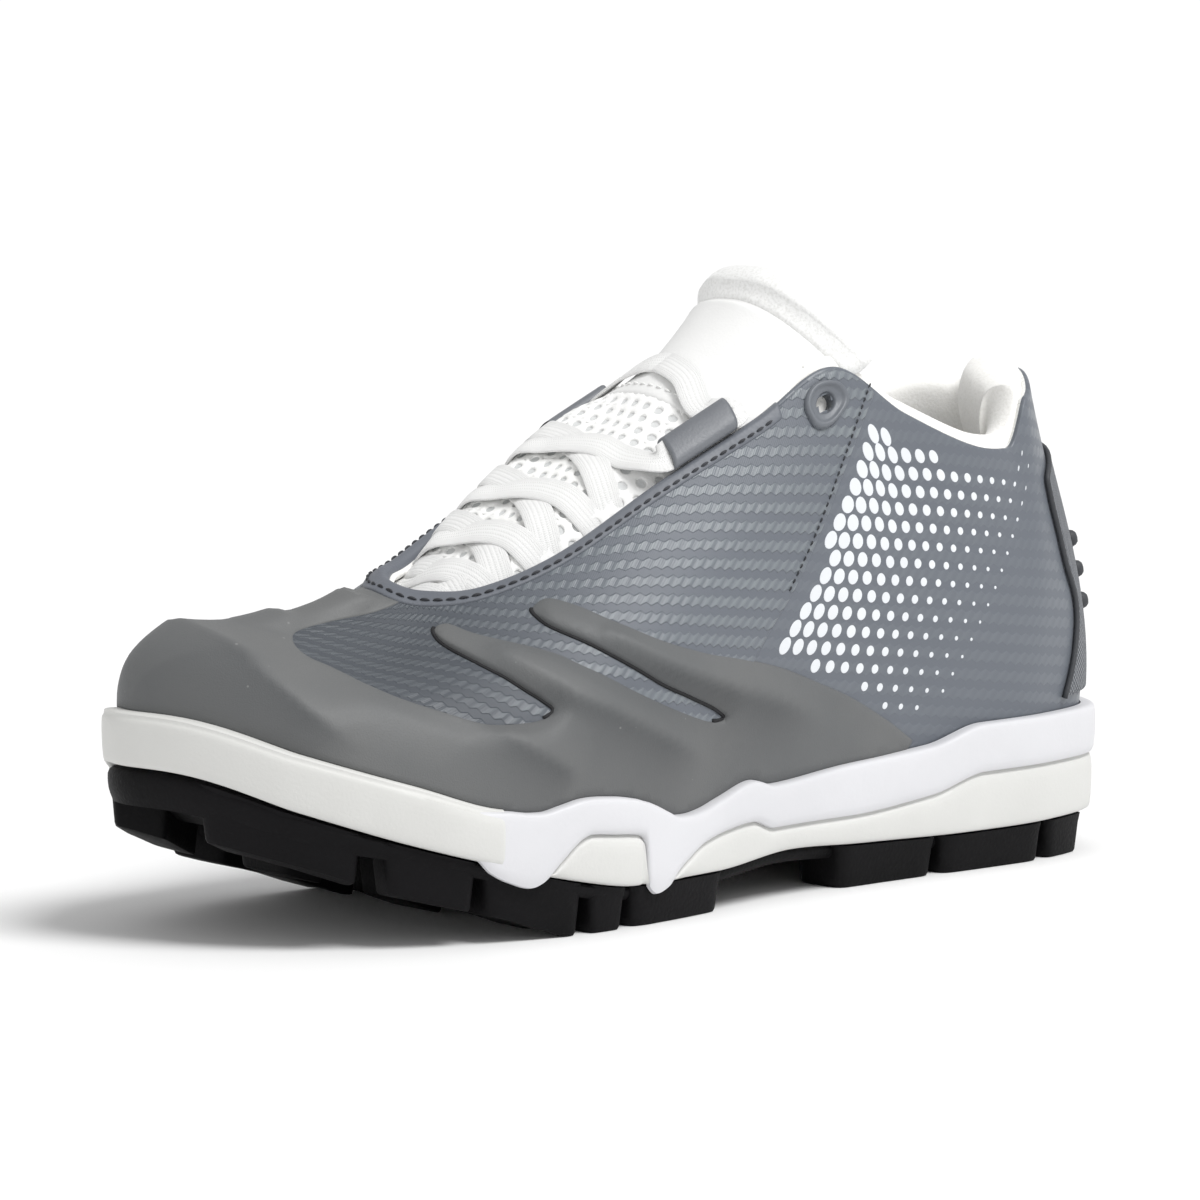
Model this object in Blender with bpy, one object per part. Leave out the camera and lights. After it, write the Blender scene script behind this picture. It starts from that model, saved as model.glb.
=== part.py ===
"""Softball cleat, left shoe: lasted upper on a cupped midsole with a side frame and a lugged outsole.

Toe points to -Y, the wearer's left (lateral side) is +X, the floor is z = 0. Tables are in millimetres.
Every curved piece is worked out from the same ribs: rib 0 is the heel's back, ribs 1 to 11 run along the
lateral side to the toe tip, and ribs 12 to 21 come back along the medial side.
"""
import math

import bpy
import bmesh
from mathutils import Vector
from mathutils.geometry import delaunay_2d_cdt

MM = 0.001
UP = Vector((0.0, 0.0, 1.0))
CENTRE = Vector((1.25, -0.125, 0.0))

# Driving sizes in millimetres
WALL = 2.2
SEAT_GAP = 0.4
RIM_INSET = 4.6
CUP_DEPTH = 8.0
GUARD_THICK = 1.5
GUARD_GAP = 0.65
FRAME_THICK = 1.9
PLATE_BOND = 0.35
INSOLE_THICK = 4.0
LACE_WIDTH = 7.5
LACE_THICK = 1.3
EYELET_HOLE = 2.6

RIBS_PER_SPAN = 4
WALL_STEPS = 8
INNER_STEPS = 6

# Midsole outline seen from above: rib, y, lateral x, medial x
OUTLINE = (
    ("heel back", 141.0, 0.0, 0.0),
    ("heel corner", 131.5, 24.0, -24.0),
    ("heel side", 108.0, 34.0, -34.0),
    ("ankle", 82.0, 36.0, -34.0),
    ("waist back", 52.0, 37.0, -32.0),
    ("waist", 24.0, 39.5, -31.0),
    ("instep", -4.0, 44.5, -35.0),
    ("ball back", -32.0, 50.0, -43.0),
    ("ball", -60.0, 52.0, -49.0),
    ("toes", -93.0, 47.0, -48.0),
    ("toe corner", -125.0, 27.5, -34.0),
    ("toe tip", -142.0, -8.0, -8.0),
)

# Opening of the upper, collar then throat: rib, y, lateral x, medial x, lateral z, medial z
TOP_LINE = (
    ("heel back", 127.0, 0.0, 0.0, 107.5, 107.5),
    ("heel corner", 120.5, 15.5, -15.5, 106.0, 112.0),
    ("heel side", 106.0, 25.5, -25.5, 103.0, 112.0),
    ("ankle", 86.0, 30.5, -30.5, 103.3, 109.0),
    ("collar front", 63.0, 29.0, -29.0, 112.8, 114.5),
    ("eyelet tab", 41.0, 27.0, -27.0, 126.5, 126.5),
    ("instep", 17.5, 26.0, -26.5, 113.0, 113.5),
    ("throat middle", -11.0, 24.0, -24.5, 99.0, 101.0),
    ("throat front", -37.0, 19.5, -21.5, 83.8, 85.5),
    ("throat corner", -55.0, 13.0, -16.0, 76.6, 77.5),
    ("throat turn", -65.0, 5.0, -10.5, 75.5, 76.0),
    ("throat end", -68.0, -2.5, -2.5, 75.5, 75.5),
)

# Wall between feather and opening: rib, rise, lean out, drop, slope below level at the opening
WALL_SHAPE = (
    ("heel back", 34.0, 11.0, 30.0, 76.0),
    ("heel corner", 34.0, 11.0, 30.0, 77.0),
    ("heel side", 32.0, 11.0, 28.0, 80.0),
    ("ankle", 32.0, 9.0, 26.0, 82.0),
    ("waist back", 38.0, 7.0, 34.0, 78.0),
    ("waist", 42.0, 4.0, 42.0, 70.0),
    ("instep", 40.0, 3.0, 36.0, 60.0),
    ("ball back", 34.0, 4.0, 30.0, 50.0),
    ("ball", 30.0, 6.0, 26.0, 40.0),
    ("toes", 28.0, 9.5, 30.0, 38.0),
    ("toe corner", 31.5, 6.5, 41.5, 40.0),
    ("toe tip", 40.5, 7.0, 55.0, 17.0),
)

# Heights of the sole along the shoe: y, rim, midsole bottom, plate thickness, lug foot
SOLE_LEVELS = (
    ("toe tip", -142.0, 52.5, 40.0, 8.5, 26.0),
    ("toe corner", -121.0, 44.5, 31.5, 7.0, 20.0),
    ("toes", -100.0, 37.5, 24.0, 4.0, 12.0),
    ("ball front", -76.0, 30.5, 17.3, 3.4, 5.5),
    ("ball", -57.0, 29.5, 12.6, 3.2, 0.0),
    ("ball back", -38.0, 29.0, 9.8, 3.2, 0.0),
    ("instep", -10.0, 28.0, 9.6, 3.2, 0.0),
    ("waist", 18.0, 28.5, 11.6, 3.2, 0.0),
    ("waist back", 44.0, 30.0, 10.4, 3.2, 0.0),
    ("ankle", 82.0, 33.5, 9.6, 3.2, 0.0),
    ("heel", 141.0, 35.5, 10.2, 3.4, 0.0),
)

# Side frame along the shoe: y, upper edge, lower edge
FRAME_EDGES = (
    ("front end", -77.0, 30.3, 15.6),
    ("arm one foot", -67.0, 29.3, 13.6),
    ("arm one back", -62.5, 30.2, 14.6),
    ("island front", -54.0, 31.5, 20.6),
    ("island top", -46.0, 31.0, 20.8),
    ("island back", -38.0, 29.6, 18.6),
    ("arm two front", -34.0, 28.4, 11.8),
    ("arm two foot", -29.0, 26.2, 11.0),
    ("arm two back", -24.0, 24.4, 11.6),
    ("notch", -20.0, 24.4, 13.0),
    ("ramp", -8.0, 27.0, 17.4),
    ("crest", 3.0, 29.7, 19.6),
    ("behind crest", 11.0, 28.0, 17.4),
    ("waist", 37.0, 30.0, 17.6),
    ("heel front", 66.0, 32.0, 20.0),
    ("heel rise", 84.0, 36.0, 24.0),
    ("heel", 141.0, 36.5, 24.4),
)
FRAME_FRONT_Y = -77.0
RABBET = 1.5
HEEL_TAB_RISE = 11.0


def clear_scene():
    for item in list(bpy.data.objects):
        bpy.data.objects.remove(item, do_unlink=True)


def column(rows, place):
    return [row[place] for row in rows]


def around(rows, lateral, medial):
    """One closed list from a rib table: heel, lateral side, toe, medial side."""
    side_one = column(rows, lateral)
    side_two = column(rows, medial)
    return side_one + side_two[-2:0:-1]


def closed_curve(values, u):
    """Smooth closed curve through the values; u counts ribs."""
    count = len(values)
    start = math.floor(u)
    t = u - start
    a, b, c, d = (values[(start + k) % count] for k in (-1, 0, 1, 2))
    bend = (2 * a - 5 * b + 4 * c - d) * t * t + (3 * b - a - 3 * c + d) * t ** 3
    return 0.5 * (2 * b + (c - a) * t + bend)


def steady_curve(xs, ys, x):
    """Smooth curve through rising xs that never overshoots its rows."""
    if x <= xs[0]:
        return ys[0]
    if x >= xs[-1]:
        return ys[-1]
    i = max(k for k in range(len(xs) - 1) if xs[k] <= x)

    def tangent(k):
        if k == 0 or k == len(xs) - 1:
            return 0.0
        before = (ys[k] - ys[k - 1]) / (xs[k] - xs[k - 1])
        after = (ys[k + 1] - ys[k]) / (xs[k + 1] - xs[k])
        if before * after <= 0.0:
            return 0.0
        return 2.0 * before * after / (before + after)

    span = xs[i + 1] - xs[i]
    t = (x - xs[i]) / span
    h00 = 2 * t ** 3 - 3 * t ** 2 + 1
    h10 = t ** 3 - 2 * t ** 2 + t
    h01 = -2 * t ** 3 + 3 * t ** 2
    h11 = t ** 3 - t ** 2
    return h00 * ys[i] + h10 * span * tangent(i) + h01 * ys[i + 1] + h11 * span * tangent(i + 1)


OUTLINE_Y = around(OUTLINE, 1, 1)
OUTLINE_X = around(OUTLINE, 2, 3)
TOP_Y = around(TOP_LINE, 1, 1)
TOP_X = around(TOP_LINE, 2, 3)
TOP_Z = around(TOP_LINE, 4, 5)
RISE = around(WALL_SHAPE, 1, 1)
LEAN = around(WALL_SHAPE, 2, 2)
DROP = around(WALL_SHAPE, 3, 3)
SLOPE = around(WALL_SHAPE, 4, 4)
RIB_COUNT = len(OUTLINE_Y)


def level(place, y):
    return steady_curve(column(SOLE_LEVELS, 1), column(SOLE_LEVELS, place), y)


def rim_z(y):
    return level(2, y)


def bottom_z(y):
    return level(3, y)


def frame_top_z(y):
    return steady_curve(column(FRAME_EDGES, 1), column(FRAME_EDGES, 2), y)


def frame_low_z(y):
    return steady_curve(column(FRAME_EDGES, 1), column(FRAME_EDGES, 3), y)


def sole_top_z(y):
    """Visible upper edge of the sole: foam rim at the toe, frame behind it."""
    return frame_top_z(y) if y > FRAME_FRONT_Y else rim_z(y)


def plan(xs, ys, u):
    return Vector((closed_curve(xs, u), closed_curve(ys, u), 0.0))


def outward(xs, ys, u):
    step = plan(xs, ys, u + 0.02) - plan(xs, ys, u - 0.02)
    return Vector((-step.y, step.x, 0.0)).normalized()


def sole_point(u, offset, z):
    """Point beside the midsole outline: offset is outward, z is a height."""
    place = plan(OUTLINE_X, OUTLINE_Y, u) + offset * outward(OUTLINE_X, OUTLINE_Y, u)
    return Vector((place.x, place.y, z))


def outline_y(u):
    return closed_curve(OUTLINE_Y, u)


def floor_z(u):
    return rim_z(outline_y(u)) - CUP_DEPTH


def gentle(x, low, high):
    t = min(max((x - low) / (high - low), 0.0), 1.0)
    return t * t * (3.0 - 2.0 * t)


def heel_tab(u):
    """Height that the heel tab adds to the opening: steep on the lateral side, gentle on the medial."""
    side = (u + 0.5 * RIB_COUNT) % RIB_COUNT - 0.5 * RIB_COUNT
    return HEEL_TAB_RISE * gentle(-side, -2.45, -1.95) * gentle(side, -0.9, 0.1)


def wall_point(u, v):
    """Outer face of the upper: v = 0 at the feather edge, v = 1 at the opening."""
    foot = sole_point(u, -RIM_INSET, floor_z(u) + SEAT_GAP)
    top = plan(TOP_X, TOP_Y, u)
    top.z = closed_curve(TOP_Z, u) + heel_tab(u)
    lean = math.radians(closed_curve(LEAN, u))
    slope = math.radians(closed_curve(SLOPE, u))
    out_foot = outward(OUTLINE_X, OUTLINE_Y, u)
    out_top = outward(TOP_X, TOP_Y, u)
    first = foot + closed_curve(RISE, u) * (math.cos(lean) * UP + math.sin(lean) * out_foot)
    second = top + closed_curve(DROP, u) * (math.cos(slope) * out_top - math.sin(slope) * UP)
    w = 1.0 - v
    return w ** 3 * foot + 3 * w * w * v * first + 3 * w * v * v * second + v ** 3 * top


def wall_normal(u, v):
    along = wall_point(u + 0.03, v) - wall_point(u - 0.03, v)
    upward = wall_point(u, min(v + 0.01, 1.0)) - wall_point(u, max(v - 0.01, 0.0))
    return upward.cross(along).normalized()


def skin(u, v, offset):
    return wall_point(u, v) + offset * wall_normal(u, v)


def share_at_height(u, z):
    """Share v up the wall at which the upper reaches a height near its foot."""
    low, high = 0.0, 0.6
    for _ in range(24):
        middle = 0.5 * (low + high)
        if wall_point(u, middle).z < z:
            low = middle
        else:
            high = middle
    return low


def rib_places(per_span, fine_spans=(), fine=1):
    """Rib positions around the shoe, with some spans cut finer on both sides."""
    half = len(OUTLINE) - 1
    places = []
    for span in range(half):
        cuts = per_span * (fine if span in fine_spans else 1)
        places += [span + k / cuts for k in range(cuts)]
    side_two = [RIB_COUNT - u for u in reversed(places[1:])]
    return places + [float(half)] + side_two


def new_object(name, points, faces, material, smooth=True):
    mesh = bpy.data.meshes.new(name)
    mesh.from_pydata([tuple((p - CENTRE) * MM) for p in points], [], faces)
    work = bmesh.new()
    work.from_mesh(mesh)
    bmesh.ops.recalc_face_normals(work, faces=work.faces)
    work.to_mesh(mesh)
    work.free()
    for face in mesh.polygons:
        face.use_smooth = smooth
    item = bpy.data.objects.new(name, mesh)
    bpy.context.scene.collection.objects.link(item)
    mesh.materials.append(material)
    return item


def paint(name, colour, roughness):
    material = bpy.data.materials.new(name)
    material.use_nodes = True
    shader = material.node_tree.nodes["Principled BSDF"]
    shader.inputs["Base Color"].default_value = (*colour, 1.0)
    shader.inputs["Roughness"].default_value = roughness
    shader.inputs["Metallic"].default_value = 0.0
    return material


def ring_faces(rings, count, closed):
    """Quads between neighbouring rings of equal point count."""
    faces = []
    last = rings if closed else rings - 1
    for r in range(last):
        s = (r + 1) % rings
        for k in range(count):
            n = (k + 1) % count
            faces.append((r * count + k, r * count + n, s * count + n, s * count + k))
    return faces


def cap_faces(first, count):
    """Strips across a ring from lateral rib to its medial partner."""
    faces = [(first, first + 1, first + count - 1)]
    half = count // 2
    for k in range(1, half - 1):
        faces.append((first + k, first + k + 1, first + count - k - 1, first + count - k))
    faces.append((first + half - 1, first + half, first + half + 1))
    return faces


def capped_solid(name, rings, material):
    count = len(rings[0])
    points = [p for ring in rings for p in ring]
    faces = ring_faces(len(rings), count, False)
    faces += cap_faces(0, count)
    faces += cap_faces((len(rings) - 1) * count, count)
    return new_object(name, points, faces, material)


def swept_solid(name, sections, material, smooth=True):
    """Solid along a row of closed sections with a flat face at both ends."""
    count = len(sections[0])
    points = [p for section in sections for p in section]
    faces = ring_faces(len(sections), count, False)
    faces.append(tuple(range(count)))
    faces.append(tuple((len(sections) - 1) * count + k for k in range(count)))
    return new_object(name, points, faces, material, smooth)


def shell_solid(name, outer, inner, triangles, material):
    """Sheet with thickness: the same triangles on two faces, walls along the free edge."""
    count = len(outer)
    used = {}
    for tri in triangles:
        for k in range(3):
            edge = (tri[k], tri[(k + 1) % 3])
            used[edge] = True
    faces = [tuple(tri) for tri in triangles]
    faces += [tuple(count + k for k in reversed(tri)) for tri in triangles]
    for a, b in used:
        if (b, a) not in used:
            faces.append((b, a, count + a, count + b))
    return new_object(name, list(outer) + list(inner), faces, material)


# Lugs along the edge, mirrored to the medial side: name, rib at one end, rib at the other, reach inward
EDGE_LUGS = (
    ("heel rear", 1.15, 1.72, 17.0),
    ("heel middle", 1.95, 3.25, 17.0),
    ("heel front", 3.5, 4.4, 17.0),
    ("ball rear", 6.32, 7.04, 18.0),
    ("ball middle", 7.3, 7.74, 19.0),
    ("ball front", 7.86, 8.66, 19.0),
    ("toe side", 8.8, 9.42, 18.0),
    ("toe blade", 9.66, 10.5, 15.0),
)

# Lugs under the middle of the forefoot: name, x, y, half width, half length
MIDDLE_LUGS = (
    ("ball stud", 2.0, -42.0, 9.0, 6.0),
    ("front stud", 0.0, -68.0, 9.0, 6.0),
    ("toe stud", -6.0, -98.0, 9.0, 6.0),
)

# Tongue along its middle line: y, z, half width, drop at the edge, sweep back at the edge, thickness
TONGUE = (
    ("toe end", -78.0, 65.0, 13.0, 6.0, 2.0, 3.0),
    ("under vamp", -62.0, 73.0, 19.0, 13.0, 3.0, 4.0),
    ("throat front", -41.0, 90.5, 24.0, 20.0, 5.0, 5.0),
    ("throat middle", -20.0, 104.5, 27.0, 18.0, 8.0, 5.5),
    ("instep", 0.0, 116.5, 27.5, 16.0, 10.0, 6.0),
    ("keeper", 17.0, 127.5, 26.5, 17.0, 12.0, 7.0),
    ("panel", 28.0, 137.0, 25.5, 20.0, 15.0, 8.0),
    ("top", 33.5, 143.5, 25.0, 23.0, 19.0, 9.0),
)


def frame_shoulder_z(y):
    """Ledge of the foam under the frame."""
    return max(min(rim_z(y) - 5.0, frame_top_z(y) - 3.4), rim_z(y) - CUP_DEPTH + 1.0)


def framed(y):
    return y > FRAME_FRONT_Y


def frame_low(y):
    return max(frame_low_z(y), bottom_z(y) + 1.8)


def make_upper(material):
    places = rib_places(RIBS_PER_SPAN)
    shares = [k / WALL_STEPS for k in range(WALL_STEPS + 1)]
    outer = [[wall_point(u, v) for u in places] for v in shares]
    inner_shares = [k / INNER_STEPS for k in range(INNER_STEPS, -1, -1)]
    inner = [[skin(u, v, -WALL) for u in places] for v in inner_shares]
    for low, foot in zip(inner[-1], outer[0]):
        low.z = foot.z
    rings = outer + inner
    points = [p for ring in rings for p in ring]
    return new_object("upper", points, ring_faces(len(rings), len(places), True), material)


def seat_point(u, z, gap):
    """Point just outside the upper at a height near its foot."""
    v = share_at_height(u, z)
    place = skin(u, v, gap)
    place.z = z
    return place


def sole_ribs():
    return rib_places(RIBS_PER_SPAN, (6, 7, 8), 2)


def midsole_section(u):
    y = outline_y(u)
    bottom = bottom_z(y)
    if framed(y):
        ledge = frame_low(y) - 0.35
        shoulder = frame_shoulder_z(y)
        step = RABBET
    else:
        ledge = rim_z(y) - 1.2
        shoulder = rim_z(y)
        step = 0.7
    tall = ledge - bottom
    return (
        sole_point(u, -5.0, bottom),
        sole_point(u, -2.2, bottom + min(0.9, 0.25 * tall)),
        sole_point(u, -0.5, bottom + 0.5 * tall),
        sole_point(u, 0.0, ledge - min(0.9, 0.2 * tall)),
        sole_point(u, -step, ledge),
        sole_point(u, -step, shoulder),
        seat_point(u, shoulder, SEAT_GAP),
        sole_point(u, -RIM_INSET + SEAT_GAP, floor_z(u)),
    )


def make_midsole(material):
    sections = [midsole_section(u) for u in sole_ribs()]
    rings = [[section[k] for section in sections] for k in range(len(sections[0]))]
    return capped_solid("midsole", rings, material)


def frame_section(u):
    y = outline_y(u)
    top = frame_top_z(y)
    low = frame_low(y)
    shoulder = frame_shoulder_z(y) + 0.35
    back = -RABBET + 0.35
    face = back + FRAME_THICK
    return (
        seat_point(u, top, SEAT_GAP),
        sole_point(u, face - 0.7, top),
        sole_point(u, face, top - 1.4),
        sole_point(u, face - 0.2, low + 0.4),
        sole_point(u, back, low),
        sole_point(u, back, shoulder),
        seat_point(u, shoulder, SEAT_GAP),
    )


def make_frame(material):
    ribs = [u for u in sole_ribs() if framed(outline_y(u))]
    lateral = [u for u in ribs if u < RIB_COUNT / 2]
    medial = [u for u in ribs if u > RIB_COUNT / 2]
    sections = [frame_section(u) for u in medial + lateral]
    return swept_solid("midsole_frame", sections, material)


def plate_bottom_z(y):
    return bottom_z(y) - PLATE_BOND - level(4, y)


def edge_lug(first, last, reach):
    sections = []
    steps = 2
    for k in range(steps + 1):
        u = first + (last - first) * k / steps
        corners = []
        for offset, at_foot in ((-2.2, False), (-reach, False), (1.5 - reach, True), (-3.4, True)):
            place = sole_point(u, offset, 0.0)
            root = plate_bottom_z(place.y) + 0.5 * level(4, place.y)
            place.z = level(5, place.y) if at_foot else root
            corners.append(place)
        sections.append(corners)
    return sections


def middle_lug(x, y, half_x, half_y):
    sections = []
    for side in (-1.0, 1.0):
        corners = []
        for across, at_foot in ((-1.0, False), (1.0, False), (1.0, True), (-1.0, True)):
            draft = 1.2 if at_foot else 0.0
            place = Vector((x + across * (half_x - draft), y + side * (half_y - draft), 0.0))
            root = plate_bottom_z(place.y) + 0.5 * level(4, place.y)
            place.z = level(5, place.y) + 0.6 if at_foot else root
            corners.append(place)
        sections.append(corners)
    return sections


def make_outsole(material):
    rings = [[], [], [], []]
    for u in rib_places(RIBS_PER_SPAN):
        y = outline_y(u)
        top = bottom_z(y) - PLATE_BOND
        thick = level(4, y)
        rings[0].append(sole_point(u, -5.0, top))
        rings[1].append(sole_point(u, -1.6, top))
        rings[2].append(sole_point(u, -1.3, top - 0.45 * thick))
        rings[3].append(sole_point(u, -3.2, top - thick))
    plate = capped_solid("outsole", rings, material)
    bodies = []
    for _, first, last, reach in EDGE_LUGS:
        bodies.append(edge_lug(first, last, reach))
        bodies.append(edge_lug(RIB_COUNT - last, RIB_COUNT - first, reach))
    bodies += [middle_lug(x, y, wide, long) for _, x, y, wide, long in MIDDLE_LUGS]
    points = []
    faces = []
    for sections in bodies:
        base = len(points)
        count = len(sections[0])
        points += [p for section in sections for p in section]
        faces += [tuple(base + k for k in face) for face in ring_faces(len(sections), count, False)]
        faces.append(tuple(base + k for k in range(count)))
        faces.append(tuple(base + (len(sections) - 1) * count + k for k in range(count)))
    lugs = new_object("lug_tool", points, faces, material, False)
    add_tool(plate, lugs, "UNION")
    return plate


def make_insole(material):
    places = rib_places(2)
    inset = -(RIM_INSET + WALL + 0.9)
    rings = [[], [], [], []]
    for u in places:
        base = floor_z(u) + SEAT_GAP
        rings[0].append(sole_point(u, inset - 1.2, base))
        rings[1].append(sole_point(u, inset, base + 1.0))
        rings[2].append(sole_point(u, inset, base + INSOLE_THICK - 1.0))
        rings[3].append(sole_point(u, inset - 1.2, base + INSOLE_THICK))
    return capped_solid("insole", rings, material)


def tongue_value(place, s):
    return steady_curve([float(k) for k in range(len(TONGUE))], column(TONGUE, place), s)


def tongue_point(s, t):
    """Outer face of the tongue: s counts table rows, t runs from medial edge to lateral edge."""
    power = 2.0 + 0.4 * max(0.0, s - 5.0)
    bend = abs(t) ** power
    y = tongue_value(1, s) + tongue_value(5, s) * bend
    z = tongue_value(2, s) - tongue_value(4, s) * bend
    return Vector((tongue_value(3, s) * t, y, z))


def tongue_along(s, t):
    return tongue_point(min(s + 0.02, len(TONGUE) - 1.0), t) - tongue_point(max(s - 0.02, 0.0), t)


def tongue_normal(s, t):
    across = tongue_point(s, min(t + 0.02, 1.0)) - tongue_point(s, max(t - 0.02, -1.0))
    return across.cross(tongue_along(s, t)).normalized()


def tongue_section(s, thin, ahead):
    """Closed section of the tongue; thin scales its thickness about its middle, ahead moves it on."""
    upper = []
    lower = []
    steps = 10
    for j in range(steps + 1):
        t = -1.0 + 2.0 * j / steps
        normal = tongue_normal(s, 0.85 * t)
        pad = tongue_value(6, s) * (1.0 - 0.55 * t ** 4)
        middle = tongue_point(s, t) - 0.5 * pad * normal
        middle += ahead * pad * tongue_along(s, 0.85 * t).normalized()
        upper.append(middle + 0.5 * pad * thin * normal)
        lower.append(middle - 0.5 * pad * thin * normal)
    return upper + lower[::-1]


def make_tongue(material):
    last = len(TONGUE) - 1
    steps = 2 * last
    sections = [tongue_section(i * last / steps, 1.0, 0.0) for i in range(steps + 1)]
    for turn in (35.0, 70.0):
        angle = math.radians(turn)
        sections.append(tongue_section(float(last), math.cos(angle), 0.5 * math.sin(angle)))
    return swept_solid("tongue", sections, material)


# Free edge of the toe guard on one side, from its tail to the throat: place, rib, share up the wall
GUARD_EDGE = (
    ("tail foot", 3.66, 0.09),
    ("tail", 4.0, 0.155),
    ("tail rise", 4.45, 0.215),
    ("finger two back", 5.0, 0.27),
    ("finger two back", 5.6, 0.335),
    ("finger two top", 6.25, 0.42),
    ("finger two top", 6.85, 0.495),
    ("finger two top", 7.5, 0.585),
    ("finger two top", 8.0, 0.675),
    ("finger two top", 8.38, 0.758),
    ("finger two tip", 8.53, 0.75),
    ("finger two under", 8.38, 0.685),
    ("finger two under", 8.0, 0.605),
    ("finger two under", 7.55, 0.49),
    ("finger two under", 6.95, 0.375),
    ("finger two under", 6.52, 0.305),
    ("slot two end", 6.38, 0.272),
    ("finger one top", 6.66, 0.28),
    ("finger one top", 7.1, 0.325),
    ("finger one top", 7.6, 0.39),
    ("finger one top", 8.0, 0.465),
    ("finger one top", 8.5, 0.663),
    ("finger one top", 8.97, 0.788),
    ("finger one top", 9.38, 0.858),
    ("finger one tip", 9.64, 0.866),
    ("finger one under", 9.43, 0.787),
    ("finger one under", 8.96, 0.635),
    ("finger one under", 8.64, 0.525),
    ("finger one under", 8.36, 0.44),
    ("slot one end", 8.27, 0.397),
    ("window low edge", 8.6, 0.375),
    ("window low edge", 9.12, 0.405),
    ("window low edge", 9.52, 0.458),
    ("window low edge", 9.95, 0.547),
    ("window low edge", 10.32, 0.605),
    ("window front", 10.59, 0.678),
    ("window front", 10.71, 0.77),
    ("window front", 10.68, 0.863),
    ("window front", 10.48, 0.935),
    ("throat", 10.3, 0.972),
)
GUARD_TAIL_RIB = 3.66
GUARD_THROAT_SHARE = 0.972

# Soft crests across the guard: rib and share at the upper end, rib and share at the lower end, height
GUARD_CRESTS = (
    ("toe crest", 10.54, 0.47, 9.59, 0.15, 1.1),
    ("finger one crest", 8.27, 0.385, 7.5, 0.12, 0.9),
    ("finger two crest", 6.4, 0.26, 5.75, 0.1, 0.8),
)
RIB_SPAN = 26.0
WALL_SPAN = 72.0
EDGE_STEP = 9.0

# Heel strip edge on one side: share up the wall, half width in ribs
HEEL_STRIP = (
    ("foot", 0.125, 1.22),
    ("low", 0.3, 1.2),
    ("middle", 0.5, 1.08),
    ("high", 0.68, 0.86),
    ("shoulder", 0.77, 0.6),
    ("top", 0.8, 0.25),
)
STRIP_THICK = 1.1
STUD_RIBS = (-0.62, 0.0, 0.62)
STUD_SHARES = (0.4, 0.5, 0.6)
STUD_RADIUS = 2.2
STUD_TALL = 2.4

# Padded lining: share up the wall, depth inside the upper's face, height above the collar edge
LINING_SECTION = (
    (0.55, 2.7, 0.0),
    (0.76, 2.7, 0.0),
    (0.97, 2.7, 0.0),
    (1.0, 3.1, 1.6),
    (1.0, 5.2, 2.9),
    (1.0, 7.8, 1.2),
    (0.93, 9.2, 0.0),
    (0.8, 8.8, 0.0),
    (0.66, 6.6, 0.0),
    (0.56, 4.0, 0.0),
)
LINING_END_RIB = 4.0

# Eyelet in the tab: rib, share, and its rounded triangle as radius against angle
EYELET_RIB = 5.2
EYELET_SHARE = 0.925
EYELET_RADIUS = 5.2
EYELET_POINT = 2.4
EYELET_TALL = 1.5

# Lace tunnels at the throat edge: ribs of both ends, then the section's width, height and wall
TUNNEL_RIBS = (6.22, 6.95)
TUNNEL_WIDE = 9.5
TUNNEL_TALL = 3.4
TUNNEL_WALL = 0.9
TUNNEL_LIFT = 1.5
TUNNEL_SECTION = ((-1, -0.4), (-0.75, -1), (0.75, -1), (1, -0.4), (1, 0.4), (0.75, 1), (-0.75, 1), (-1, 0.4))

# Lace runs over the tongue: row at the medial end, row at the lateral end, lift, share of the half width
LACE_RUNS = (
    ("bottom bar", 1.55, 1.57, 1.1, 0.42),
    ("cross one", 1.6, 2.05, 0.9, 0.47),
    ("cross one back", 2.08, 1.62, 1.5, 0.45),
    ("cross two", 2.02, 2.63, 1.0, 0.54),
    ("cross two back", 2.6, 2.0, 1.6, 0.52),
    ("cross three", 2.66, 3.17, 0.9, 0.6),
    ("cross three back", 3.12, 2.58, 1.5, 0.62),
    ("cross four", 3.18, 3.52, 1.0, 0.44),
    ("cross four back", 3.56, 3.14, 1.6, 0.46),
)


def mirrored(u):
    return RIB_COUNT - u


def inside(polygon, x, y):
    odd = False
    j = len(polygon) - 1
    for i, (xi, yi) in enumerate(polygon):
        xj, yj = polygon[j]
        if (yi > y) != (yj > y) and x < (xj - xi) * (y - yi) / (yj - yi) + xi:
            odd = not odd
        j = i
    return odd


def edge_distance(polygon, x, y):
    best = 1e9
    for (x0, y0), (x1, y1) in zip(polygon, polygon[1:] + polygon[:1]):
        dx, dy = x1 - x0, y1 - y0
        t = max(0.0, min(1.0, ((x - x0) * dx + (y - y0) * dy) / (dx * dx + dy * dy)))
        best = min(best, math.hypot(x - x0 - t * dx, y - y0 - t * dy))
    return best


def with_short_edges(polygon, longest):
    """Same polygon with points added so that no edge is longer than a length."""
    points = []
    for (x0, y0), (x1, y1) in zip(polygon, polygon[1:] + polygon[:1]):
        cuts = max(1, math.ceil(math.hypot(x1 - x0, y1 - y0) / longest))
        points += [(x0 + (x1 - x0) * k / cuts, y0 + (y1 - y0) * k / cuts) for k in range(cuts)]
    return points


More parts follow.
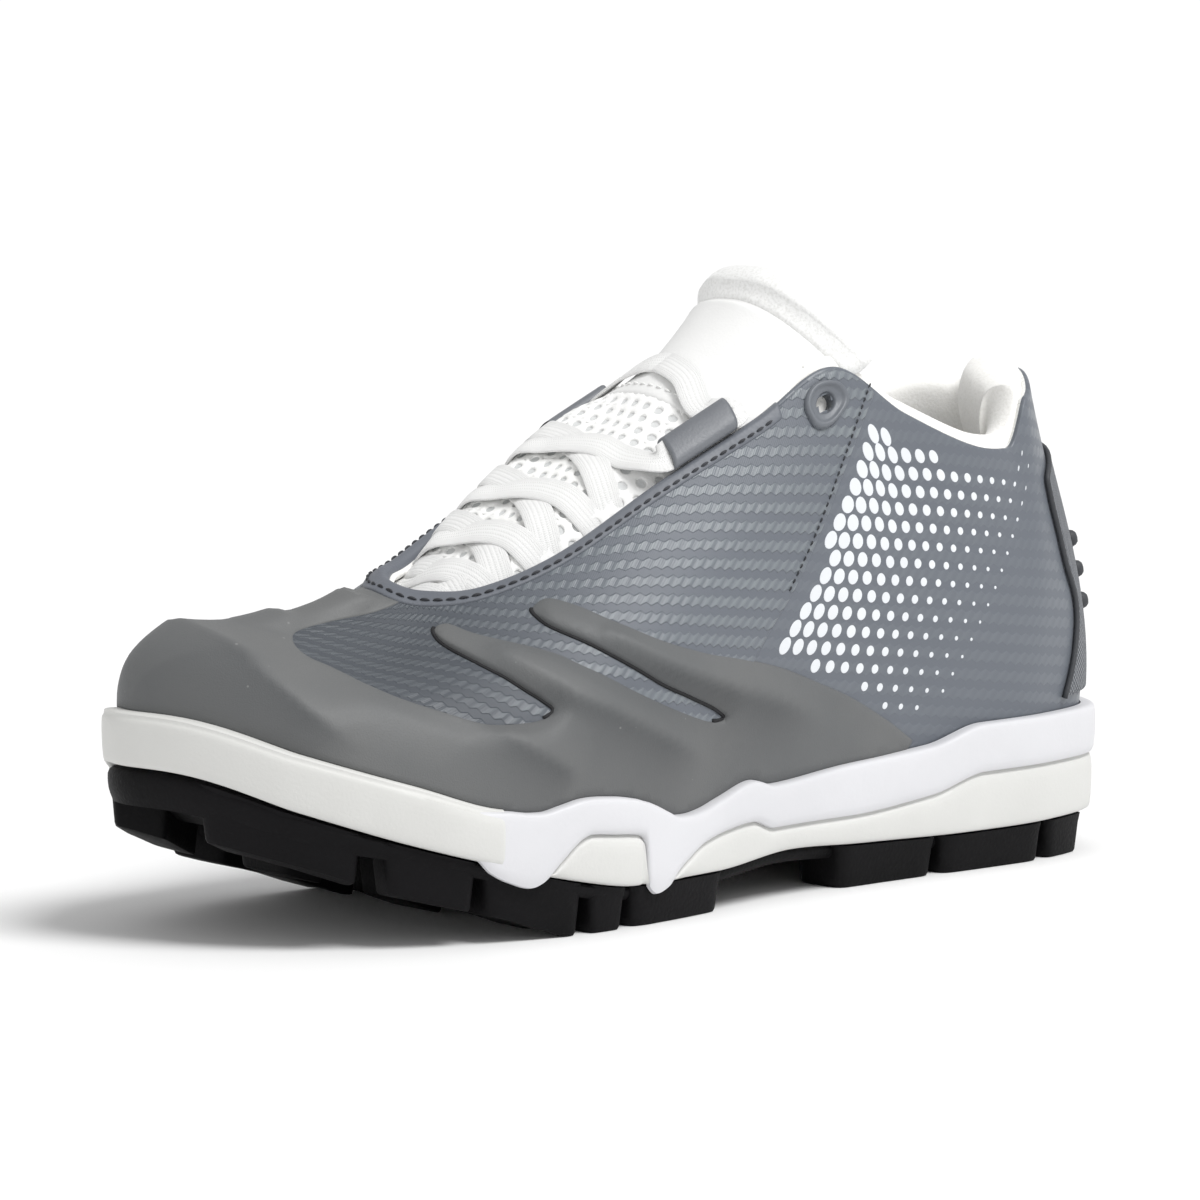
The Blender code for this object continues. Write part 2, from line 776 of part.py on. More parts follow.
def chart_triangles(polygon, ribs, shares, margin):
    """Triangles of a region of the upper: its edge points, then grid points well inside it."""
    flat = with_short_edges([(u * RIB_SPAN, v * WALL_SPAN) for u, v in polygon], EDGE_STEP)
    points = list(flat)
    for u in ribs:
        for v in shares:
            x, y = u * RIB_SPAN, v * WALL_SPAN
            if inside(flat, x, y) and edge_distance(flat, x, y) > margin:
                points.append((x, y))
    edges = [(k, (k + 1) % len(flat)) for k in range(len(flat))]
    made = delaunay_2d_cdt([Vector(p) for p in points], edges, [], 0, 1e-4)
    coords, faces = made[0], made[2]
    kept = []
    for face in faces:
        cx = sum(coords[k].x for k in face) / 3.0
        cy = sum(coords[k].y for k in face) / 3.0
        if inside(flat, cx, cy):
            kept.append(tuple(face))
    chart = [(p.x / RIB_SPAN, p.y / WALL_SPAN) for p in coords]
    return chart, kept


def guard_polygon():
    lateral = [(u, v) for _, u, v in GUARD_EDGE]
    medial = [(mirrored(u), v) for u, v in reversed(lateral)]
    throat = [(u, GUARD_THROAT_SHARE) for u in (10.4, 10.7, 11.0, 11.3, 11.6)]
    first = GUARD_TAIL_RIB + 0.2
    ribs = [u for u in rib_places(RIBS_PER_SPAN) if first < u < mirrored(first)]
    foot = []
    for u in reversed(ribs):
        foot.append((u, share_at_height(u, sole_top_z(outline_y(u)) + 0.6)))
    return lateral + throat + medial + foot


def guard_relief(u, v):
    """Height of the soft crests at a place on the guard."""
    side = u if u <= RIB_COUNT / 2 else mirrored(u)
    x, y = side * RIB_SPAN, v * WALL_SPAN
    height = 0.0
    for _, u0, v0, u1, v1, tall in GUARD_CRESTS:
        ax, ay = u0 * RIB_SPAN, v0 * WALL_SPAN
        dx, dy = u1 * RIB_SPAN - ax, v1 * WALL_SPAN - ay
        length = math.hypot(dx, dy)
        along = ((x - ax) * dx + (y - ay) * dy) / length
        across = ((x - ax) * dy - (y - ay) * dx) / length
        fade = max(0.0, min(1.0, (along + 8.0) / 12.0, (length + 8.0 - along) / 12.0))
        width = 7.0 if across < 0.0 else 3.0
        shape = math.exp(-((across / width) ** 2))
        height = max(height, tall * fade * shape)
    return height


def make_toe_guard(material):
    polygon = guard_polygon()
    shares = [0.05 * k for k in range(1, 20, 2)]
    ribs = [u + 0.125 for u in rib_places(RIBS_PER_SPAN) if 3.5 < u < 18.5]
    chart, triangles = chart_triangles(polygon, ribs, shares, 3.0)
    inner = [skin(u, v, GUARD_GAP) for u, v in chart]
    outer = [skin(u, v, GUARD_GAP + GUARD_THICK + guard_relief(u, v)) for u, v in chart]
    return shell_solid("toe_guard", outer, inner, triangles, material)


def make_heel_strip(material):
    right = [(half, v) for _, v, half in HEEL_STRIP]
    left = [(-half, v) for half, v in reversed(right)]
    low = HEEL_STRIP[0][1]
    foot = [(0.25 * k, low) for k in range(-4, 5)]
    polygon = right + left + foot
    ribs = [0.25 * k for k in range(-4, 5)]
    shares = [k / WALL_STEPS for k in range(2, WALL_STEPS - 1)]
    chart, triangles = chart_triangles(polygon, ribs, shares, 2.0)
    inner = [skin(u, v, GUARD_GAP) for u, v in chart]
    outer = [skin(u, v, GUARD_GAP + STRIP_THICK) for u, v in chart]
    strip = shell_solid("heel_strip", outer, inner, triangles, material)
    points = []
    faces = []
    sides = 6
    for u in STUD_RIBS:
        for v in STUD_SHARES:
            base = len(points)
            normal = wall_normal(u, v)
            across = normal.cross(UP).normalized()
            rise = across.cross(normal)
            centre = skin(u, v, GUARD_GAP + 0.5 * STRIP_THICK)
            for lift, radius in ((0.0, STUD_RADIUS), (STUD_TALL, 0.6 * STUD_RADIUS)):
                for k in range(sides):
                    angle = 2.0 * math.pi * k / sides
                    spoke = math.cos(angle) * across + math.sin(angle) * rise
                    points.append(centre + lift * normal + radius * spoke)
            faces += [tuple(base + k for k in face) for face in ring_faces(2, sides, False)]
            faces.append(tuple(base + k for k in range(sides)))
            faces.append(tuple(base + sides + k for k in range(sides)))
    studs = new_object("stud_tool", points, faces, material)
    add_tool(strip, studs, "UNION")
    return strip


def add_tool(item, tool, operation):
    tool.hide_render = True
    tool.display_type = "WIRE"
    change = item.modifiers.new(tool.name, "BOOLEAN")
    change.operation = operation
    change.solver = "EXACT"
    change.object = tool


def make_lining(material):
    sections = []
    steps = 26
    for k in range(steps + 1):
        u = -LINING_END_RIB + 2.0 * LINING_END_RIB * k / steps
        near_end = min(1.0, (LINING_END_RIB - abs(u)) / 0.8)
        full = 0.4 + 0.6 * near_end
        section = []
        for v, depth, lift in LINING_SECTION:
            inward = 2.7 + (depth - 2.7) * full
            section.append(skin(u, v, -inward) + lift * full * UP)
        sections.append(section)
    return swept_solid("collar_lining", sections, material)


def eyelet_place(u, v, along_mm, up_mm, offset):
    """Point on the upper's face at a distance in millimetres from a rib and share."""
    rib_mm = (wall_point(u + 0.05, v) - wall_point(u - 0.05, v)).length / 0.1
    share_mm = (wall_point(u, v + 0.02) - wall_point(u, v - 0.02)).length / 0.04
    return skin(u + along_mm / rib_mm, v + up_mm / share_mm, offset)


def make_eyelet(name, u, material):
    sides = 12
    rings = []
    top = SEAT_GAP + EYELET_TALL
    for radius_scale, offset in ((1.0, SEAT_GAP), (0.86, top), (0.0, top), (0.0, SEAT_GAP)):
        ring = []
        for k in range(sides):
            angle = 2.0 * math.pi * k / sides
            point = max(0.0, -math.sin(angle)) ** 3
            radius = EYELET_HOLE + radius_scale * (EYELET_RADIUS + EYELET_POINT * point - EYELET_HOLE)
            across, rise = radius * math.cos(angle), radius * math.sin(angle)
            ring.append(eyelet_place(u, EYELET_SHARE, across, rise, offset))
        rings.append(ring)
    points = [p for ring in rings for p in ring]
    return new_object(name, points, ring_faces(len(rings), sides, True), material)


def cut_eyelet_holes(upper, material):
    points = []
    faces = []
    sides = 12
    for u in (EYELET_RIB, mirrored(EYELET_RIB)):
        base = len(points)
        for offset in (-6.0, 4.0):
            for k in range(sides):
                angle = 2.0 * math.pi * k / sides
                across, rise = EYELET_HOLE * math.cos(angle), EYELET_HOLE * math.sin(angle)
                spot = eyelet_place(u, EYELET_SHARE, across, rise, 0.0)
                points.append(spot + offset * wall_normal(u, EYELET_SHARE))
        faces += [tuple(base + k for k in face) for face in ring_faces(2, sides, False)]
        faces.append(tuple(base + k for k in range(sides)))
        faces.append(tuple(base + sides + k for k in range(sides)))
    tool = new_object("eyelet_tool", points, faces, material)
    add_tool(upper, tool, "DIFFERENCE")


def tunnel_rings(u):
    """Outer and inner outline of a lace tunnel's section where it leaves the throat edge."""
    edge = plan(TOP_X, TOP_Y, u)
    edge.z = closed_curve(TOP_Z, u)
    out = outward(TOP_X, TOP_Y, u)
    reach = (UP - out).normalized()
    lift = (UP + out).normalized()
    centre = edge + (0.5 * TUNNEL_WIDE + 0.35) * reach + TUNNEL_LIFT * lift
    rings = []
    for shrink in (0.0, TUNNEL_WALL):
        wide = 0.5 * TUNNEL_WIDE - shrink
        tall = 0.5 * TUNNEL_TALL - shrink
        ring = []
        for a, b in TUNNEL_SECTION:
            ring.append(centre + a * wide * reach + b * tall * lift)
        rings.append(ring)
    return rings


def make_tunnel(name, first, last, material):
    steps = 4
    outer = []
    inner = []
    for k in range(steps + 1):
        u = first + (last - first) * k / steps
        ring_out, ring_in = tunnel_rings(u)
        outer.append(ring_out)
        inner.append(ring_in)
    rings = outer + inner[::-1]
    points = [p for ring in rings for p in ring]
    return new_object(name, points, ring_faces(len(rings), len(rings[0]), True), material)


def lace_run(medial_row, lateral_row, lift, reach):
    """Flat strip over the tongue from the medial throat edge to the lateral one."""
    steps = 5
    sections = []
    for k in range(steps + 1):
        share = k / steps
        s = medial_row + (lateral_row - medial_row) * share
        t = reach * (2.0 * share - 1.0)
        middle = tongue_point(s, t)
        normal = tongue_normal(s, t)
        before = tongue_point(s - 0.02 * (lateral_row - medial_row), t - 0.02)
        after = tongue_point(s + 0.02 * (lateral_row - medial_row), t + 0.02)
        ahead = (after - before).normalized()
        side = normal.cross(ahead).normalized()
        low = middle + lift * normal
        high = low + LACE_THICK * normal
        half = 0.5 * LACE_WIDTH * side
        sections.append((low - half, low + half, high + half, high - half))
    return sections


def make_lace(material):
    lace = None
    for name, medial_row, lateral_row, lift, reach in LACE_RUNS:
        strip = swept_solid("lace", lace_run(medial_row, lateral_row, lift, reach), material)
        if lace is None:
            lace = strip
        else:
            strip.name = "lace_tool " + name
            add_tool(lace, strip, "UNION")
    return lace


def main():
    clear_scene()
    weave = paint("upper_weave", (0.16, 0.18, 0.22), 0.5)
    guard = paint("guard_rubber", (0.2, 0.2, 0.2), 0.65)
    upper = make_upper(weave)
    cut_eyelet_holes(upper, weave)
    make_midsole(paint("midsole_foam", (0.78, 0.75, 0.68), 0.6))
    make_frame(paint("frame_white", (0.84, 0.85, 0.88), 0.45))
    make_outsole(paint("outsole_rubber", (0.02, 0.02, 0.022), 0.55))
    make_insole(paint("insole_foam", (0.6, 0.6, 0.6), 0.8))
    make_tongue(paint("tongue_white", (0.85, 0.85, 0.85), 0.8))
    make_lining(paint("lining_fleece", (0.82, 0.81, 0.78), 0.95))
    make_toe_guard(guard)
    make_heel_strip(paint("strip_mesh", (0.14, 0.15, 0.17), 0.7))
    tab = paint("eyelet_plastic", (0.18, 0.19, 0.21), 0.5)
    make_eyelet("eyelet_lateral", EYELET_RIB, tab)
    make_eyelet("eyelet_medial", mirrored(EYELET_RIB), tab)
    fold = paint("tunnel_fabric", (0.22, 0.23, 0.26), 0.7)
    first, last = TUNNEL_RIBS
    make_tunnel("tunnel_lateral", first, last, fold)
    make_tunnel("tunnel_medial", mirrored(last), mirrored(first), fold)
    make_lace(paint("lace_white", (0.88, 0.88, 0.87), 0.8))


main()
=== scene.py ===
"""Looks of the softball cleat, a left shoe: every visible surface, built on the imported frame.

Toe to -Y, lateral side +X, floor z = 0. Tables and shape functions are in millimetres, and build() turns
them into metres in the part's frame. Ribs (u) count round the shoe: 0 at the heel's back, 1 to 11 along the
lateral side to the toe tip, 12 to 21 back along the medial side. Shares (v) run up the wall, 0 at the
feather edge and 1 at the opening.
"""
import math

import bmesh
import bpy
import numpy as np
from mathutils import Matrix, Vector
from mathutils.geometry import delaunay_2d_cdt


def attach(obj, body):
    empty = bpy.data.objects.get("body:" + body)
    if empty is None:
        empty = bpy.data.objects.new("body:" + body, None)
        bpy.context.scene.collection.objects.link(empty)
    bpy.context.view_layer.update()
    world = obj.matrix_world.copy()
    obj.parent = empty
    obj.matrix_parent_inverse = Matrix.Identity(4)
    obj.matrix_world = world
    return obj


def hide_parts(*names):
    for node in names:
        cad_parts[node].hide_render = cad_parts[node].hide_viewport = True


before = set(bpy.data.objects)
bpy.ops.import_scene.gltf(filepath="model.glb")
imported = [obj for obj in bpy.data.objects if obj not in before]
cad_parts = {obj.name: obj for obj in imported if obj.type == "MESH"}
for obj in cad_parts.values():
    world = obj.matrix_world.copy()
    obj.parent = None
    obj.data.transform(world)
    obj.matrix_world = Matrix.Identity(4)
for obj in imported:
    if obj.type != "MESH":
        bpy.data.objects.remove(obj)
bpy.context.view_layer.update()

MM = 0.001
CENTRE = np.array((1.25, -0.125, 0.0))
UP = np.array((0.0, 0.0, 1.0))

# Driving sizes in millimetres
WALL = 2.2
SEAT_GAP = 0.4
RIM_INSET = 4.6
CUP_DEPTH = 8.0
RABBET = 1.5
HEEL_TAB_RISE = 11.0
FRAME_THICK = 1.9
FRAME_FRONT_Y = -77.0
FRAME_TUCK = 8.6
PLATE_BOND = 0.35
INSOLE_THICK = 4.0
LIP_SHARE = 0.988
LIP_RISE = 0.8
RIB_SPAN = 26.0
WALL_SPAN = 72.0
CHART = np.array((RIB_SPAN, WALL_SPAN))
LACE_WIDTH = 7.6
LACE_THICK = 1.0

# Midsole outline seen from above: rib, y, lateral x, medial x
OUTLINE = (
    ("heel back", 141.0, 0.0, 0.0),
    ("heel corner", 131.5, 24.0, -24.0),
    ("heel side", 108.0, 34.0, -34.0),
    ("ankle", 82.0, 36.0, -34.0),
    ("waist back", 52.0, 37.0, -32.0),
    ("waist", 24.0, 39.5, -31.0),
    ("instep", -4.0, 44.5, -35.0),
    ("ball back", -32.0, 50.0, -43.0),
    ("ball", -60.0, 52.0, -49.0),
    ("toes", -93.0, 47.0, -48.0),
    ("toe corner", -125.0, 27.5, -34.0),
    ("toe tip", -142.0, -8.0, -8.0),
)

# Opening of the upper, collar then throat: rib, y, lateral x, medial x, lateral z, medial z
TOP_LINE = (
    ("heel back", 123.5, 0.0, 0.0, 110.0, 110.0),
    ("heel corner", 117.3, 14.0, -14.0, 108.2, 113.5),
    ("heel side", 106.0, 25.5, -25.5, 103.0, 112.0),
    ("ankle", 86.0, 30.5, -30.5, 103.3, 109.0),
    ("collar front", 63.0, 29.0, -29.0, 112.8, 114.5),
    ("eyelet tab", 41.0, 27.0, -27.0, 125.0, 125.0),
    ("instep", 17.5, 26.0, -26.5, 113.0, 113.5),
    ("throat middle", -11.0, 24.0, -24.5, 99.0, 101.0),
    ("throat front", -37.0, 19.5, -21.5, 83.8, 88.3),
    ("throat corner", -55.0, 13.0, -16.0, 76.6, 81.3),
    ("throat turn", -64.0, 5.0, -10.5, 76.0, 79.8),
    ("throat end", -66.5, -2.5, -2.5, 77.2, 77.2),
)

# Wall between feather and opening: rib, rise, lean out, drop, slope below level at the opening
WALL_SHAPE = (
    ("heel back", 34.0, 11.0, 30.0, 80.0),
    ("heel corner", 34.0, 11.0, 30.0, 80.0),
    ("heel side", 32.0, 11.0, 28.0, 80.0),
    ("ankle", 32.0, 9.0, 26.0, 82.0),
    ("waist back", 38.0, 7.0, 34.0, 78.0),
    ("waist", 42.0, 4.0, 42.0, 70.0),
    ("instep", 40.0, 3.0, 36.0, 60.0),
    ("ball back", 34.0, 4.0, 30.0, 50.0),
    ("ball", 30.0, 6.0, 26.0, 40.0),
    ("toes", 28.0, 9.5, 30.0, 38.0),
    ("toe corner", 31.2, 5.0, 41.5, 40.5),
    ("toe tip", 39.0, 4.5, 54.5, 17.5),
)

# Heights of the sole along the shoe: y, rim, midsole bottom, plate thickness, lug foot
SOLE_LEVELS = (
    ("toe tip", -142.0, 52.5, 40.0, 8.5, 26.0),
    ("toe corner", -121.0, 44.5, 31.5, 7.0, 20.0),
    ("toes", -100.0, 37.5, 24.0, 4.0, 12.0),
    ("ball front", -76.0, 30.5, 17.3, 3.4, 5.5),
    ("ball", -57.0, 29.5, 12.6, 3.2, 0.0),
    ("ball back", -38.0, 29.0, 9.8, 3.2, 0.0),
    ("instep", -10.0, 28.0, 9.6, 3.2, 0.0),
    ("waist", 18.0, 28.5, 11.6, 3.2, 0.0),
    ("waist back", 44.0, 30.0, 10.4, 3.2, 0.0),
    ("ankle", 82.0, 33.5, 9.6, 3.2, 0.0),
    ("heel", 141.0, 35.5, 10.2, 3.4, 0.0),
)

# Side frame along the shoe: y, upper edge, lower edge
FRAME_EDGES = (
    ("flange end", -85.6, 31.0, 20.2),
    ("flange", -81.5, 30.6, 16.6),
    ("front end", -77.0, 30.3, 14.2),
    ("arm one tip", -70.5, 29.4, 12.3),
    ("arm one foot", -67.5, 29.3, 13.2),
    ("arm one back", -62.5, 30.2, 17.4),
    ("island front", -56.0, 31.4, 22.3),
    ("island top", -53.5, 31.5, 23.0),
    ("island middle", -46.0, 31.0, 22.3),
    ("island back", -38.6, 29.8, 21.5),
    ("island end", -36.6, 29.2, 20.4),
    ("arm two front", -35.4, 28.9, 9.5),
    ("arm two tip", -32.5, 27.8, 7.2),
    ("arm two foot", -28.5, 26.0, 8.4),
    ("arm two back", -25.0, 24.6, 11.6),
    ("notch", -20.6, 24.4, 14.4),
    ("ramp low", -15.5, 25.0, 17.0),
    ("ramp", -8.0, 27.0, 18.8),
    ("crest", 3.0, 29.7, 19.9),
    ("behind crest", 11.0, 28.0, 17.6),
    ("waist", 37.0, 30.0, 17.6),
    ("heel front", 66.0, 32.0, 20.0),
    ("heel rise", 84.0, 36.0, 24.0),
    ("heel", 141.0, 36.5, 24.4),
)

# Lugs along the edge, mirrored to the medial side: name, rib at one end, rib at the other, reach inward
EDGE_LUGS = (
    ("heel rear", 1.3, 1.93, 17.0),
    ("heel middle", 2.05, 3.36, 17.0),
    ("heel front", 3.46, 4.55, 17.0),
    ("ball rear", 6.1, 7.24, 18.0),
    ("ball middle", 7.36, 7.74, 19.0),
    ("ball front", 7.84, 8.66, 19.0),
    ("toe side", 8.74, 9.34, 18.0),
    ("toe blade", 9.5, 10.45, 15.0),
)

# Lugs under the middle of the forefoot: name, x, y, half width, half length
MIDDLE_LUGS = (
    ("ball stud", 2.0, -42.0, 9.0, 6.0),
    ("front stud", 0.0, -68.0, 9.0, 6.0),
    ("toe stud", -6.0, -98.0, 9.0, 6.0),
)

# Tongue along its middle line: y, z, half width, drop at the edge, sweep back at the edge, thickness
TONGUE = (
    ("toe end", -78.0, 65.0, 13.0, 6.0, 2.0, 3.0),
    ("under vamp", -62.0, 73.0, 19.0, 13.0, 3.0, 4.0),
    ("throat front", -41.0, 90.5, 24.0, 20.0, 5.0, 5.0),
    ("throat middle", -20.0, 104.5, 27.0, 18.0, 8.0, 5.5),
    ("instep", 0.0, 116.5, 27.5, 16.0, 10.0, 6.0),
    ("keeper", 17.0, 127.5, 27.0, 16.5, 12.0, 7.0),
    ("panel", 28.0, 137.0, 27.0, 18.0, 14.5, 8.0),
    ("top", 33.5, 143.0, 27.5, 19.5, 18.0, 9.0),
)


def column(rows, place):
    return np.array([row[place] for row in rows], float)


def numbers(rows):
    """Table without the names of its rows."""
    return np.array([row[1:] for row in rows], float)


def around(rows, lateral, medial):
    """One closed list from a rib table: heel, lateral side, toe, medial side."""
    return np.concatenate((column(rows, lateral), column(rows, medial)[-2:0:-1]))


def closed_curve(values, u):
    """Smooth closed curve through the values; u counts ribs."""
    u = np.asarray(u, float)
    start = np.floor(u).astype(int)
    t = u - start
    a, b, c, d = (values[(start + k) % len(values)] for k in (-1, 0, 1, 2))
    bend = (2 * a - 5 * b + 4 * c - d) * t * t + (3 * b - a - 3 * c + d) * t ** 3
    return 0.5 * (2 * b + (c - a) * t + bend)


def steady_curve(xs, ys, x):
    """Smooth curve through rising xs that never overshoots its rows."""
    xs, ys = np.asarray(xs, float), np.asarray(ys, float)
    step = np.diff(ys) / np.diff(xs)
    before, after = step[:-1], step[1:]
    same = before * after > 0.0
    inner = np.where(same, 2.0 * before * after / np.where(same, before + after, 1.0), 0.0)
    tangent = np.concatenate(([0.0], inner, [0.0]))
    x = np.clip(np.asarray(x, float), xs[0], xs[-1])
    i = np.clip(np.searchsorted(xs, x, side="right") - 1, 0, len(xs) - 2)
    span = xs[i + 1] - xs[i]
    t = (x - xs[i]) / span
    rise = (3.0 - 2.0 * t) * t * t
    ends = (1.0 - rise) * ys[i] + rise * ys[i + 1]
    return ends + span * (t * (1.0 - t) ** 2 * tangent[i] - t * t * (1.0 - t) * tangent[i + 1])


def smooth_step(x, low, high):
    t = np.clip((np.asarray(x, float) - low) / (high - low), 0.0, 1.0)
    return t * t * (3.0 - 2.0 * t)


def matched(*values):
    """Arrays of numbers with one shared shape."""
    return np.broadcast_arrays(*(np.asarray(a, float) for a in values))


def stack(*values):
    """Points from their coordinates."""
    return np.stack(matched(*values), axis=-1)


def unit(a):
    return a / np.maximum(np.linalg.norm(a, axis=-1, keepdims=True), 1e-9)


def full_turn(sides):
    """Angles of the points of a ring."""
    return np.arange(sides) * 2.0 * math.pi / sides


def flattened(wave, power):
    """Sines or cosines pressed toward a square wave by a power under 1."""
    return np.sign(wave) * np.abs(wave) ** power


OUTLINE_Y = around(OUTLINE, 1, 1)
OUTLINE_X = around(OUTLINE, 2, 3)
TOP_Y = around(TOP_LINE, 1, 1)
TOP_X = around(TOP_LINE, 2, 3)
TOP_Z = around(TOP_LINE, 4, 5)
RISE = around(WALL_SHAPE, 1, 1)
LEAN = around(WALL_SHAPE, 2, 2)
DROP = around(WALL_SHAPE, 3, 3)
SLOPE = around(WALL_SHAPE, 4, 4)
RIB_COUNT = len(OUTLINE_Y)


def mirrored(u):
    return RIB_COUNT - u


def from_heel(u):
    """Ribs counted from the heel's back, negative on the medial side."""
    return (np.asarray(u, float) + 0.5 * RIB_COUNT) % RIB_COUNT - 0.5 * RIB_COUNT


def ring_ribs(count):
    """Ribs spread evenly round the shoe."""
    return np.arange(count) * RIB_COUNT / count


def level(place, y):
    return steady_curve(column(SOLE_LEVELS, 1), column(SOLE_LEVELS, place), y)


def frame_edge(place, y):
    return steady_curve(column(FRAME_EDGES, 1), column(FRAME_EDGES, place), y)


def outline_y(u):
    return closed_curve(OUTLINE_Y, u)


def plan(xs, ys, u, z=0.0):
    return stack(closed_curve(xs, u), closed_curve(ys, u), z)


def outward(xs, ys, u):
    step = plan(xs, ys, u + 0.02) - plan(xs, ys, u - 0.02)
    return unit(stack(-step[..., 1], step[..., 0], 0.0))


def sole_point(u, offset, z):
    """Point beside the midsole outline: offset is outward, z is a height."""
    u, offset, z = matched(u, offset, z)
    place = plan(OUTLINE_X, OUTLINE_Y, u) + offset[..., None] * outward(OUTLINE_X, OUTLINE_Y, u)
    return stack(place[..., 0], place[..., 1], z)


def floor_z(u):
    return level(2, outline_y(u)) - CUP_DEPTH


def heel_tab(u):
    """Height that the heel tab adds to the opening: steep on the lateral side, gentle on the medial."""
    side = from_heel(u)
    return HEEL_TAB_RISE * smooth_step(-side, -2.45, -1.95) * smooth_step(side, -0.9, 0.1)


def wall_point(u, v):
    """Outer face of the upper."""
    u, v = matched(u, v)
    foot = sole_point(u, -RIM_INSET, floor_z(u) + SEAT_GAP)
    top = plan(TOP_X, TOP_Y, u, closed_curve(TOP_Z, u) + heel_tab(u))
    lean = np.radians(closed_curve(LEAN, u))[..., None]
    slope = np.radians(closed_curve(SLOPE, u))[..., None]
    rise = closed_curve(RISE, u)[..., None]
    drop = closed_curve(DROP, u)[..., None]
    first = foot + rise * (np.cos(lean) * UP + np.sin(lean) * outward(OUTLINE_X, OUTLINE_Y, u))
    second = top + drop * (np.cos(slope) * outward(TOP_X, TOP_Y, u) - np.sin(slope) * UP)
    v = v[..., None]
    w = 1.0 - v
    return w ** 3 * foot + 3 * w * w * v * first + 3 * w * v * v * second + v ** 3 * top


def wall_up(u, v):
    return wall_point(u, np.minimum(v + 0.01, 1.0)) - wall_point(u, np.maximum(v - 0.01, 0.0))


def wall_normal(u, v):
    u, v = matched(u, v)
    along = wall_point(u + 0.03, v) - wall_point(u - 0.03, v)
    return unit(np.cross(wall_up(u, v), along))


def skin(u, v, offset):
    u, v, offset = matched(u, v, offset)
    return wall_point(u, v) + offset[..., None] * wall_normal(u, v)


# Soft troughs of the upper on both sides: name, rib, share, reach in ribs, reach in shares, depth
CREASES = (
    ("ankle hollow", 3.1, 0.72, 1.0, 0.16, 0.9),
    ("collar bend", 4.25, 0.8, 0.35, 0.12, 0.5),
    ("instep hollow", 5.9, 0.62, 0.9, 0.14, 0.5),
)


def relief(u, v):
    """How far the cloth stands out of the plain wall."""
    side = np.abs(from_heel(u))
    made = np.zeros(np.broadcast(side, v).shape)
    for _, rib, share, ribs, shares, depth in CREASES:
        made = made - depth * np.exp(-((side - rib) / ribs) ** 2 - ((v - share) / shares) ** 2)
    return made


def face(u, v, offset):
    """Point over the cloth of the upper's outer face."""
    return skin(u, v, offset + relief(u, v))


def share_at_height(u, z):
    """Share up the wall at which the upper reaches a height near its foot."""
    low, high = np.zeros_like(u), np.full_like(u, 0.6)
    for _ in range(24):
        middle = 0.5 * (low + high)
        below = wall_point(u, middle)[..., 2] < z
        low, high = np.where(below, middle, low), np.where(below, high, middle)
    return low


# Cloth coordinates of the upper: girth along the ribs and rows up the wall, both in millimetres
LOOK_RIBS = np.linspace(0.0, RIB_COUNT, 441)
LOOK_SHARES = np.linspace(0.0, 1.0, 81)
LOOK_WALL = wall_point(LOOK_RIBS[:, None], LOOK_SHARES[None, :])
ROW_TILT = 0.12
ROW_START = 60.0


def cloth_tables():
    climb = np.cumsum(np.linalg.norm(np.diff(LOOK_WALL, axis=1), axis=-1), axis=1)
    climb = np.concatenate((np.zeros((len(LOOK_RIBS), 1)), climb), axis=1)
    slant = LOOK_WALL[..., 2] + ROW_TILT * LOOK_WALL[..., 1] - ROW_START
    start = np.array([np.interp(0.0, slant[k], climb[k]) for k in range(len(LOOK_RIBS))])
    half = LOOK_WALL[:, len(LOOK_SHARES) // 2]
    girth = np.concatenate(([0.0], np.cumsum(np.linalg.norm(np.diff(half, axis=0), axis=-1))))
    return climb - start[:, None], girth


CLOTH_ROWS, CLOTH_GIRTH = cloth_tables()


def cloth_place(u, v):
    """Cloth coordinates at ribs and shares, read between the look-up's rows."""
    u, v = matched(np.asarray(u, float) % RIB_COUNT, v)
    a = u / RIB_COUNT * (len(LOOK_RIBS) - 1)
    b = np.clip(v, 0.0, 1.0) * (len(LOOK_SHARES) - 1)
    i = np.clip(a.astype(int), 0, len(LOOK_RIBS) - 2)
    j = np.clip(b.astype(int), 0, len(LOOK_SHARES) - 2)
    p, q = a - i, b - j
    low = (1 - p) * CLOTH_ROWS[i, j] + p * CLOTH_ROWS[i + 1, j]
    high = (1 - p) * CLOTH_ROWS[i, j + 1] + p * CLOTH_ROWS[i + 1, j + 1]
    return stack(np.interp(u, LOOK_RIBS, CLOTH_GIRTH), (1 - q) * low + q * high, 0.0)


def cloth_spot(girth, row):
    """Rib and share at cloth coordinates, the inverse of cloth_place."""
    u = float(np.interp(girth, CLOTH_GIRTH, LOOK_RIBS))
    near = int(round(u / RIB_COUNT * (len(LOOK_RIBS) - 1)))
    return u, float(np.interp(row, CLOTH_ROWS[near], LOOK_SHARES, left=-1.0, right=2.0))


# Meshes


def grid_faces(rows, cols, wrap_rows=False, wrap_cols=False):
    """Quads of a grid of points stored row by row."""
    r = np.arange(rows if wrap_rows else rows - 1)
    c = np.arange(cols if wrap_cols else cols - 1)
    r, c = np.meshgrid(r, c, indexing="ij")
    below, beside = (r + 1) % rows, (c + 1) % cols
    quads = np.stack((r * cols + c, r * cols + beside, below * cols + beside, below * cols + c), axis=-1)
    return quads.reshape(-1, 4).tolist()


